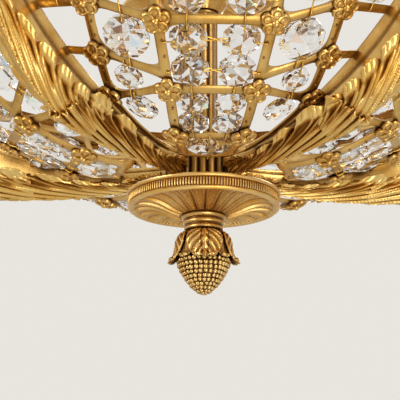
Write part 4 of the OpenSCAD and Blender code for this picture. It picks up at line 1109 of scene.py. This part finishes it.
def tie(rim, bar):
    """From a glass's hole over its rim to the rib that is bar mm from the glass's middle."""
    hole = rim - HOLE_IN
    return [(hole, -1.9), (hole, 0.3), (rim, 0.7), (mix(rim, bar, 0.5), 0.5), (bar - 1.2, 0.95),
            (bar, 0.8), (bar + 0.3, -0.6)]


def wires_of(line, chance):
    """The paths of all wires of one line of glasses."""
    top, up, out, length, width, places = glass_line(line)
    side, face, paths = np.cross(up, out), top + out * (STRAP_T / 2), []
    for foot in (False, True):
        if foot and abs(line[0]) == FREE_END:
            continue
        rim = (length - places[-1] if foot else places[0]) - width / 2
        start, way = (face - up * length, up) if foot else (face, -up)
        lean = side * chance.uniform(-0.5, 0.5)
        paths.append([start + way * a + out * b + lean * (a / 6) for a, b in hook(rim)])
    if len(places) > 1:
        between = (places[0] + places[1]) / 2
        arm = (places[1] - places[0]) / 2 - width / 2 + HOLE_IN
        lean = side * chance.uniform(-0.4, 0.4)
        paths.append([face - up * (between + a * arm) + out * b + lean * a for a, b in JOINT])
    if abs(line[0]) > 0.6 or line[4] != GLASS_BIG:
        return paths
    for at in places:
        centre = face - up * at
        r = np.hypot(*centre[:2])
        rib = skin(r, across(1 if line[0] > 0 else -1, r)) - centre
        toward = unit(rib)
        paths.append([centre + toward * a + out * b
                      for a, b in tie(width / 2, np.linalg.norm(rib) - 0.6)])
        if line[0] > 0:
            gap = np.linalg.norm(skin(r, across(-line[0], r)) - centre) - width + 2 * HOLE_IN
            start = centre - toward * (width / 2 - HOLE_IN)
            paths += [[start - toward * (a * gap) + out * b + up * (tilt * c) for a, b, c in TWIST]
                      for tilt in (-1, 1)]
    return paths


for k in range(1, SECTORS + 1):
    chance = np.random.default_rng(k)
    paths = [in_sector(path, k) for line in GLASS_LINES for path in wires_of(line, chance)]
    place(bent_wires(f"glass_wires_{k}", paths, WIRE_R, WIRE_BRASS), "chandelier", f"hanging_pins_{k}")
print("wires in a sector:", len(paths))

# %% [markdown]
# Five arms carry the dish and the lattice. An arm is a tall flat bar with a rounded lower edge
# and a raised band along its upper one, so its section is drawn once and carried along the
# valley's curve. The leaf under it leaves only the arm's upper half in view.

# %% Arms in the valleys
KEEL_Z, LEAF_HALF, LEAF_DEEP, LEAF_T, LEAF_FOOT, LEAF_FOOT_H = 4.4, 14.0, 15.0, 1.8, 5.5, 4.2
LEAF_R0, LEAF_R1 = HUB_R + 6, RIM_R - 12
LEAF_LEN = LEAF_R1 - LEAF_R0
ARM_START, ARM_END = HUB_R - 5.7, RIM_R - RIM_GAP
ARM_LOW_END, ARM_END_Z = RIM_R - 16, BASKET_H - 8.1


def keel(r): return mix(KEEL_Z, valley_z(r) - LEAF_DEEP * 0.7, max(0.0, reach(r)) ** 3.5)
def leaf_tail(r): return mix(1, 0.3, (max(0.0, (r - LEAF_R1) / LEAF_LEN + 0.27) / 0.27) ** 2)
def leaf_share(r, full): return sin(pi / 2 * min(1.0, max(0.0, (r - LEAF_R0) / LEAF_LEN) / full))
def leaf_width(r): return mix(LEAF_FOOT, LEAF_HALF, leaf_share(r, 0.5)) * leaf_tail(r)
def leaf_rise(r): return mix(LEAF_FOOT_H, LEAF_DEEP, leaf_share(r, 0.6) ** 3) * leaf_tail(r)


def arm_low(r):
    if r > ARM_LOW_END:
        return mix(arm_low(ARM_LOW_END), ARM_END_Z, (r - ARM_LOW_END) / (ARM_END - ARM_LOW_END))
    share = ARM_W / 2 / max(ARM_W / 2 * 1.25, leaf_width(r) * 0.88)
    return keel(r) + LEAF_T + CLEAR + 1.15 * leaf_rise(r) * share ** 1.3


def in_valley(points, k):
    """Points given along the valley, across it and up, set into sector k."""
    b = radians(SECTOR / 2)
    turn = np.array(((sin(b), cos(b), 0), (-cos(b), sin(b), 0), (0, 0, 1)))
    return in_sector(np.asarray(points) @ turn.T, k)


def swept_bar(name, rows, k):
    """A bar in the valley of sector k, from rows of (along, across, up, recess)."""
    count = len(rows[0])
    points = np.array(rows).reshape(-1, 4)
    faces = grid_faces(len(rows), count, around=True)
    faces += [tuple(range(count)), tuple(reversed(range(len(points) - count, len(points))))]
    bar = shape(name, in_valley(points[:, :3], k), faces, STRAP_BRASS, {"recess": points[:, 3]}, sharp=50)
    return tidy(bar, sharp=50)


# The third number darkens the groove under the raised band and the top's edge as painted shade.
ARM_SECTION = [(0.0, 0.0, 0), (0.45, 0.0, 0), (0.8, 0.05, 0), (0.95, 0.14, 0), (0.94, 0.62, 0),
               (0.9, 0.66, 0.9), (0.9, 0.71, 0.9), (1.0, 0.76, 0), (1.0, 0.93, 0), (0.9, 0.985, 0),
               (0.7, 1.0, 0), (0.3, 0.985, 0.3)]
ARM_SECTION += [(-x, h, dark) for x, h, dark in reversed(ARM_SECTION[1:])]


def arm_row(r):
    low, top = arm_low(r), min(valley_z(r) + 2, BASKET_H)
    return [(r, x * ARM_W / 2, mix(low, top, h), dark) for x, h, dark in ARM_SECTION]


arm_rows = [arm_row(r) for r in np.linspace(ARM_START, ARM_END, 64)]
for k in range(1, SECTORS + 1):
    place(swept_bar(f"arm_{k}", arm_rows, k), "chandelier", f"arm_strap_{k}")

# %% [markdown]
# The leaves are what the eye goes to after the glass. Each was cast in one: strands run out from
# the hub along the keel, and one after another the outer ones turn up the side and end in a curled
# tip, with a hollow behind it. A rule gives this whole shape. The strands' lines are drawn on the
# trough as a shifted radius, so that they leave the keel at a slant and reach the edge nearly
# square, and a table of radii sets the leaflets, which grow as the leaf widens. A second leaf
# starts behind the first one's tips and runs on to the rim.

# %% Leaves under the arms
FIRST_TIPS = [22, 28, 35, 43, 53, 67, 86, 110] + [110 + 24 * n for n in range(1, 12)]
SECOND_TIPS = [100 + 13 * n for n in range(16)]
FIRST_END, SECOND_START, LEAF_SKIN = 121.0, 106.0, 1.0


def ramp(x, start, end):
    share = np.clip((x - start) / (end - start), 0, 1)
    return share * share * (3 - 2 * share)


def leaf_relief(r, v, tips, lean, full, to_end):
    """Lift, darkness, notch and curl at radius r and share v of the half width."""
    a = np.abs(v)
    spread = np.interp(r, tips, np.diff(tips, append=tips[-1] + 24))
    slanted = r + spread * lean * (1 - a) ** 1.8 + 0.25 * spread * np.sign(v)
    number = np.interp(slanted, tips, np.arange(len(tips)))
    w = number - np.floor(number)
    size = np.clip(spread / full, 0.3, 1.1)
    low = 1 - ramp(a, 0.34, 0.56)
    rims = hill(w, 0.18, 0.085) + hill(w, 0.82, 0.085)
    groove = hill(w, 0.0, 0.055) + hill(w, 1.0, 0.055)
    strand = np.sin(pi * w) ** 1.3
    cut = np.abs((3 * w) % 1 * 2 - 1) ** 7
    hollow = hill(w, 0.5, 0.22) * ramp(a, 0.42, 0.60) * (1 - ramp(a, 0.70, 0.78))
    dents = 1 - 0.14 * hill(w, 0.40, 0.05) - 0.14 * hill(w, 0.62, 0.05)
    curl = np.clip(1 - np.abs((w - 0.5) / 0.39) ** 2.6, 0, 1) * dents * ramp(a, 0.74, 0.84)
    between = hill(w, 0.0, 0.12) + hill(w, 1.0, 0.12)
    eye, notch = between * ramp(a, 0.66, 0.80), between * ramp(a, 0.80, 0.96)
    lift = (1.35 * rims * (1 - 0.7 * low) + 1.7 * strand * low + 3.6 * curl - 2.4 * hollow
            - 3.2 * eye - groove - 0.5 * cut * (1 - np.clip(1.6 * curl, 0, 1))
            + 1.3 * (1 - ramp(to_end, 1.0, 9.0)) * strand)
    # The darkness is painted shade: in the grooves between strands, the hollow behind each curl, the eyes
    # and notches between leaflets, the cuts and the low strands.
    dark = (0.7 * groove + hollow + 1.6 * eye + notch + 0.38 * low * (1 - strand) ** 2
            + 0.2 * (1 - np.clip(rims, 0, 1)) * (1 - low) * (1 - curl) + 0.5 * cut)
    dark = np.clip(dark * (1 - 0.7 * np.clip(curl, 0, 1)), 0, 1)
    return lift * size + 0.4 * hill(a, 0.0, 0.05), dark, np.clip(notch, 0, 1), curl * size


leaf_radii = np.linspace(LEAF_R0, LEAF_R1 + 20, 200)
leaf_widths, leaf_rises, leaf_keels = (
    np.array([rule(min(r, LEAF_R1)) for r in leaf_radii]) for rule in (leaf_width, leaf_rise, keel))


def leaf_shell(r_from, r_to, tips, rows, cols, lean, full, sink, rise, tongue):
    """Outside of one leaf in the valley's frame, and its darkness. It ends in a tongue at the keel."""
    share, v = np.meshgrid(np.linspace(0, 1, rows), np.linspace(-1, 1, cols), indexing="ij")
    end = r_to + tongue * (1 - np.abs(v) ** 1.6 + 0.3 * np.abs(np.cos(2.5 * pi * v)))
    r = r_from + share * (end - r_from)
    lift, dark, notch, curl = leaf_relief(r, v, tips, lean, full, end - r)
    width, up, bottom = (np.interp(r, leaf_radii, line)
                         for line in (leaf_widths, leaf_rises, leaf_keels))
    side = v * (1 - 0.30 * notch * np.abs(v) ** 3 + 0.07 * curl)
    up = (up + 5.5 * (1 - ramp(r, 30, 54))) * rise
    trough = np.stack((r, side * width, bottom + up * np.abs(side) ** 1.3), axis=-1)
    normal = np.cross(np.gradient(trough, axis=1), np.gradient(trough, axis=0))
    normal /= np.maximum(np.linalg.norm(normal, axis=-1, keepdims=True), 1e-9)
    normal *= np.where(normal[..., 2:3] > 0, -1, 1)
    flared = 1.3 * (1 - ramp(end - r, 0, 30)) * (tongue > 0)
    return trough + normal * (lift + flared - sink)[..., None], dark


SHELLS = {
    "leaf": leaf_shell(LEAF_R0 - 9, FIRST_END, FIRST_TIPS, rows=320, cols=121, lean=3.4, full=24,
                       sink=0.5, rise=1.0, tongue=9.0),
    "outer_leaf": leaf_shell(SECOND_START, LEAF_R1, SECOND_TIPS, rows=220, cols=101, lean=3.0,
                             full=15, sink=2.2, rise=0.84, tongue=0.0)}
for k in range(1, SECTORS + 1):
    for name, (points, dark) in SHELLS.items():
        leaf = shape(f"{name}_{k}", in_valley(points.reshape(-1, 3), k), grid_faces(*dark.shape),
                     LEAF_BRASS, {"recess": dark.ravel()}, sharp=80)
        leaf = thicken(tidy(leaf, sharp=80), LEAF_SKIN, even=False)
        place(leaf, "chandelier", f"acanthus_leaf_{k}")

# %% [markdown]
# Along each rib, between one ring and the next, the straps have two tiny drilled holes for wires.
# Each is a shallow cup, dark with painted shade in place of a hole's depth, turned once as a pattern and
# set on the strap's face.

# %% Wire holes
HOLE_LINE = [(0.02, 0.02, 1.0), (0.42, 0.02, 1.0), (0.62, 0.10, 0.6), (0.72, 0.0, 0.2),
             (0.62, -0.3, 0.6), (0.02, -0.3, 1.0)]
HOLE_SHARES, HOLE_LIFT, HOLE_ASIDE = (0.36, 0.64), 0.6, 0.9
hole = pattern_of(turned("hole", HOLE_LINE, 0.0, CAST_BRASS, steps=10))
holes = [(*on_skin(mix(ring_r(*low, u), ring_r(*high, u), share), u, k, HOLE_LIFT,
                   -HOLE_ASIDE if u > 0 else HOLE_ASIDE), 1.0)
         for k in range(1, SECTORS + 1) for u in (-2, -1, 1, 2)
         for low, high in zip(RINGS[1:-1], RINGS[2:]) for share in HOLE_SHARES]
place(set_on("wire_holes", holes, hole, CAST_BRASS), "chandelier")

# %% [markdown]
# The rim band isn't in the photograph, so it is made as such bands are: two beads along the edges
# of a hollow face, and a row of pearls between them. The band is turned; the pearls are set on it.

# %% Rim band
RIM_HEIGHT, PEARLS, PEARL_R, PEARL_SEAT = 18.0, 220, 2.6, 2.1
# The third number darkens the hollow face between the beads as painted shade.
RIM_LINE = [(0.0, 0.0, 0), (2.6, 0.0, 0), (3.9, 0.8, 0), (4.8, 2.2, 0), (4.2, 3.6, 0.2),
            (2.7, 4.4, 0.8), (2.2, 5.2, 0.6), (2.0, 9.0, 0.4), (2.2, 12.8, 0.6), (2.7, 13.6, 0.8),
            (4.2, 14.4, 0.2), (4.8, 15.8, 0), (3.9, 17.2, 0), (2.6, 18.0, 0), (0.0, 18.0, 0)]
place(turned("rim_moulding", [(RIM_R + r, z, dark) for r, z, dark in RIM_LINE],
             RIM_Z - RIM_HEIGHT / 2, CAST_BRASS, steps=240), "chandelier", "rim_band")
pearl = pattern_of(dome("pearl", PEARL_R, 12, 6, CAST_BRASS, round_to=0.5))
pearl_spots = ring_of_spots(PEARLS, RIM_R + PEARL_SEAT, RIM_Z)
place(set_on("rim_pearls", pearl_spots, pearl, CAST_BRASS), "chandelier")

# %% [markdown]
# From the rim five flat bars sweep up to the crown in a double curve. Their section has a raised
# edge on each side, and it is carried along a Bezier curve, the same as in the solids.

# %% Scroll arms
CROWN_RISE, CROWN_R, CROWN_T, SCROLL_W, SCROLL_D = 150.0, 34.0, 8.0, 7.0, 8.0
SCROLL_FOOT = RIM_R - SCROLL_D / 2 - RIM_GAP
SCROLL_PATH = [np.array(p) for p in (
    (SCROLL_FOOT, BASKET_H + CLEAR), (SCROLL_FOOT, BASKET_H + CROWN_RISE * 0.66),
    (RIM_R * 0.36, BASKET_H + CROWN_RISE * 0.36),
    (CROWN_R + SCROLL_D / 2 + CLEAR, BASKET_H + CROWN_RISE - CROWN_T / 2))]
# The third number darkens the channel between the raised edges as painted shade.
SCROLL_SECTION = [(-0.5, -0.38, 0), (-0.44, -0.47, 0), (-0.3, -0.5, 0), (-0.2, -0.44, 0.8),
                  (0.2, -0.44, 0.8), (0.3, -0.5, 0), (0.44, -0.47, 0), (0.5, -0.38, 0)]
SCROLL_SECTION += [(-x, -d, dark) for x, d, dark in SCROLL_SECTION]


def on_curve(f):
    a, b, c, d = SCROLL_PATH
    g = 1 - f
    return a * g ** 3 + b * 3 * g * g * f + c * 3 * g * f * f + d * f ** 3


def scroll_row(f):
    """One section of the bar, kept inside the rim and the crown; past 1 it runs on straight."""
    at = min(f, 1.0)
    run = unit(on_curve(at + 0.01) - on_curve(at - 0.01))
    middle, row = on_curve(at) + run * 100 * max(0.0, f - 1.0), []
    for x, d, dark in SCROLL_SECTION:
        r, z = middle + np.array((run[1], -run[0])) * (d * SCROLL_D)
        row.append((min(max(r, CROWN_R - 1.5), ARM_END), x * SCROLL_W,
                    min(max(z, BASKET_H), BASKET_H + CROWN_RISE - 0.8), dark))
    return row


scroll_rows = [scroll_row(f) for f in (*np.linspace(0, 1, 70), 1.03, 1.06)]
for k in range(1, SECTORS + 1):
    place(swept_bar(f"scroll_{k}", scroll_rows, k), "chandelier", f"scroll_arm_{k}")

# %% [markdown]
# The five lamps stand inside the basket. A candle bulb is blown glass with a drawn-out tip and a
# screw cap of brass, and its sleeve is a card tube with a few drips of wax in low relief.

# %% Bulbs and sleeves
LAMP_RING_R, LAMP_FOOT, BULB_LIFT, SLEEVE_R, SLEEVE_H = 55.0, 135.98, 3.0, 12.0, 36.0
BULB_LINE = [(0.02, 33.2), (6.6, 33.2), (7.6, 35.0), (9.6, 38.5), (12.2, 43.5), (14.2, 49.0),
             (14.9, 54.0), (14.5, 59.0), (13.0, 64.5), (10.4, 70.0), (7.2, 75.0), (4.2, 79.5),
             (2.2, 83.0), (1.1, 85.2), (0.5, 85.9), (0.02, 86.0)]
CAP_LINE = [(0.02, 0.0), (6.9, 0.0), (7.0, 30.0), (8.2, 31.2), (8.2, 32.8), (7.4, 34.6), (0.02, 34.6)]
SLEEVE_LINE = [(10.5, 3.0), (10.5, SLEEVE_H - 0.6), (10.9, SLEEVE_H), (11.6, SLEEVE_H)]
SLEEVE_LINE += [(SLEEVE_R, SLEEVE_H - 0.5 - 1.42 * n) for n in range(26)] + [(0.02, 0.0), (0.02, 3.0)]
LAMP_PARTS = (("bulb", BULB_LINE, OPAL, "bulbs", BULB_LIFT),
              ("bulb_cap", CAP_LINE, SMOOTH_BRASS, "bulbs", BULB_LIFT),
              ("sleeve", SLEEVE_LINE, IVORY, "candle_sleeves", 0.0))


def drip(angle, height):
    """How far the wax stands out at this angle and height on a sleeve."""
    low = SLEEVE_H - 9 - 7 * sin(3 * angle) - 5 * sin(5 * angle + 1.3)
    return 0.55 / (1 + np.exp(-(height - low) * 1.6)) * (0.55 + 0.45 * abs(cos(4 * angle)))


def wax(sleeve):
    """Lets the wax stand out on the outer wall of a sleeve."""
    for vertex in sleeve.data.vertices:
        x, y, z = vertex.co / MM
        if np.hypot(x, y) > SLEEVE_R - 0.05:
            share = 1 + drip(atan2(y, x), z) / SLEEVE_R
            vertex.co = Vector((x * share, y * share, z)) * MM


for k, a in enumerate(circle(SECTORS, -pi / 2)):
    for name, line, finish, node, lift in LAMP_PARTS:
        part = lathe(f"{name}_{k + 1}", line, finish, steps=72)
        if name == "sleeve":
            wax(part)
        spot = Vector((LAMP_RING_R * cos(a), LAMP_RING_R * sin(a), DISH_Z + LAMP_FOOT + lift))
        part.data.transform(Matrix.Translation(spot * MM))
        place(part, "chandelier", node)

# %% [markdown]
# What is left are turned and bought parts: bracket, nipple, nuts, loops, stem, canopy, lamp arms.
# The imported solids show them well enough, so they are kept and only given their finish: zinc on the
# steel of the bracket and its nut, and brass in three shades on the rest, the darkest of them painted
# shade on the stem and the hub nut.

# %% Finishes of the kept solids
KEPT = {
    ZINC: ("ceiling_bracket", "lock_nut"),
    WIRE_BRASS: ("suspension_link", "body_loop", "screw_collar", "ring_nut"),
    SMOOTH_BRASS: ("threaded_nipple", "canopy", "crown_plate", "crown_bell", "finial_rod", "lamp_hub",
                   "lamp_arms", "lamp_cups"),
    PAINTED_SHADE_BRASS: ("stem_tube", "hub_nut"),
}
for finish, names in KEPT.items():
    for name in names:
        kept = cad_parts[name]
        kept.data.materials.clear()
        kept.data.materials.append(finish)
print("kept solids:", sum(len(names) for names in KEPT.values()))

# %% [markdown]
# A plain floor lies well under the light, below the camera's height, so that the photograph's own view
# doesn't meet it.

# %% Floor
FLOOR_HALF, FLOOR_Z = 40.0, -2.4
corners = [(x * FLOOR_HALF, y * FLOOR_HALF, FLOOR_Z)
           for x, y in ((-1, -1), (1, -1), (1, 1), (-1, 1))]
floor_mesh = bpy.data.meshes.new("floor")
floor_mesh.from_pydata(corners, [], [(0, 1, 2, 3)])
floor_mesh.materials.append(
    plain_finish("floor_paint", (0.93, 0.91, 0.87), (0.90, 0.88, 0.84), 0.9, size=0.4))
floor = in_scene("floor", floor_mesh)
print("floor at", FLOOR_Z, "m")
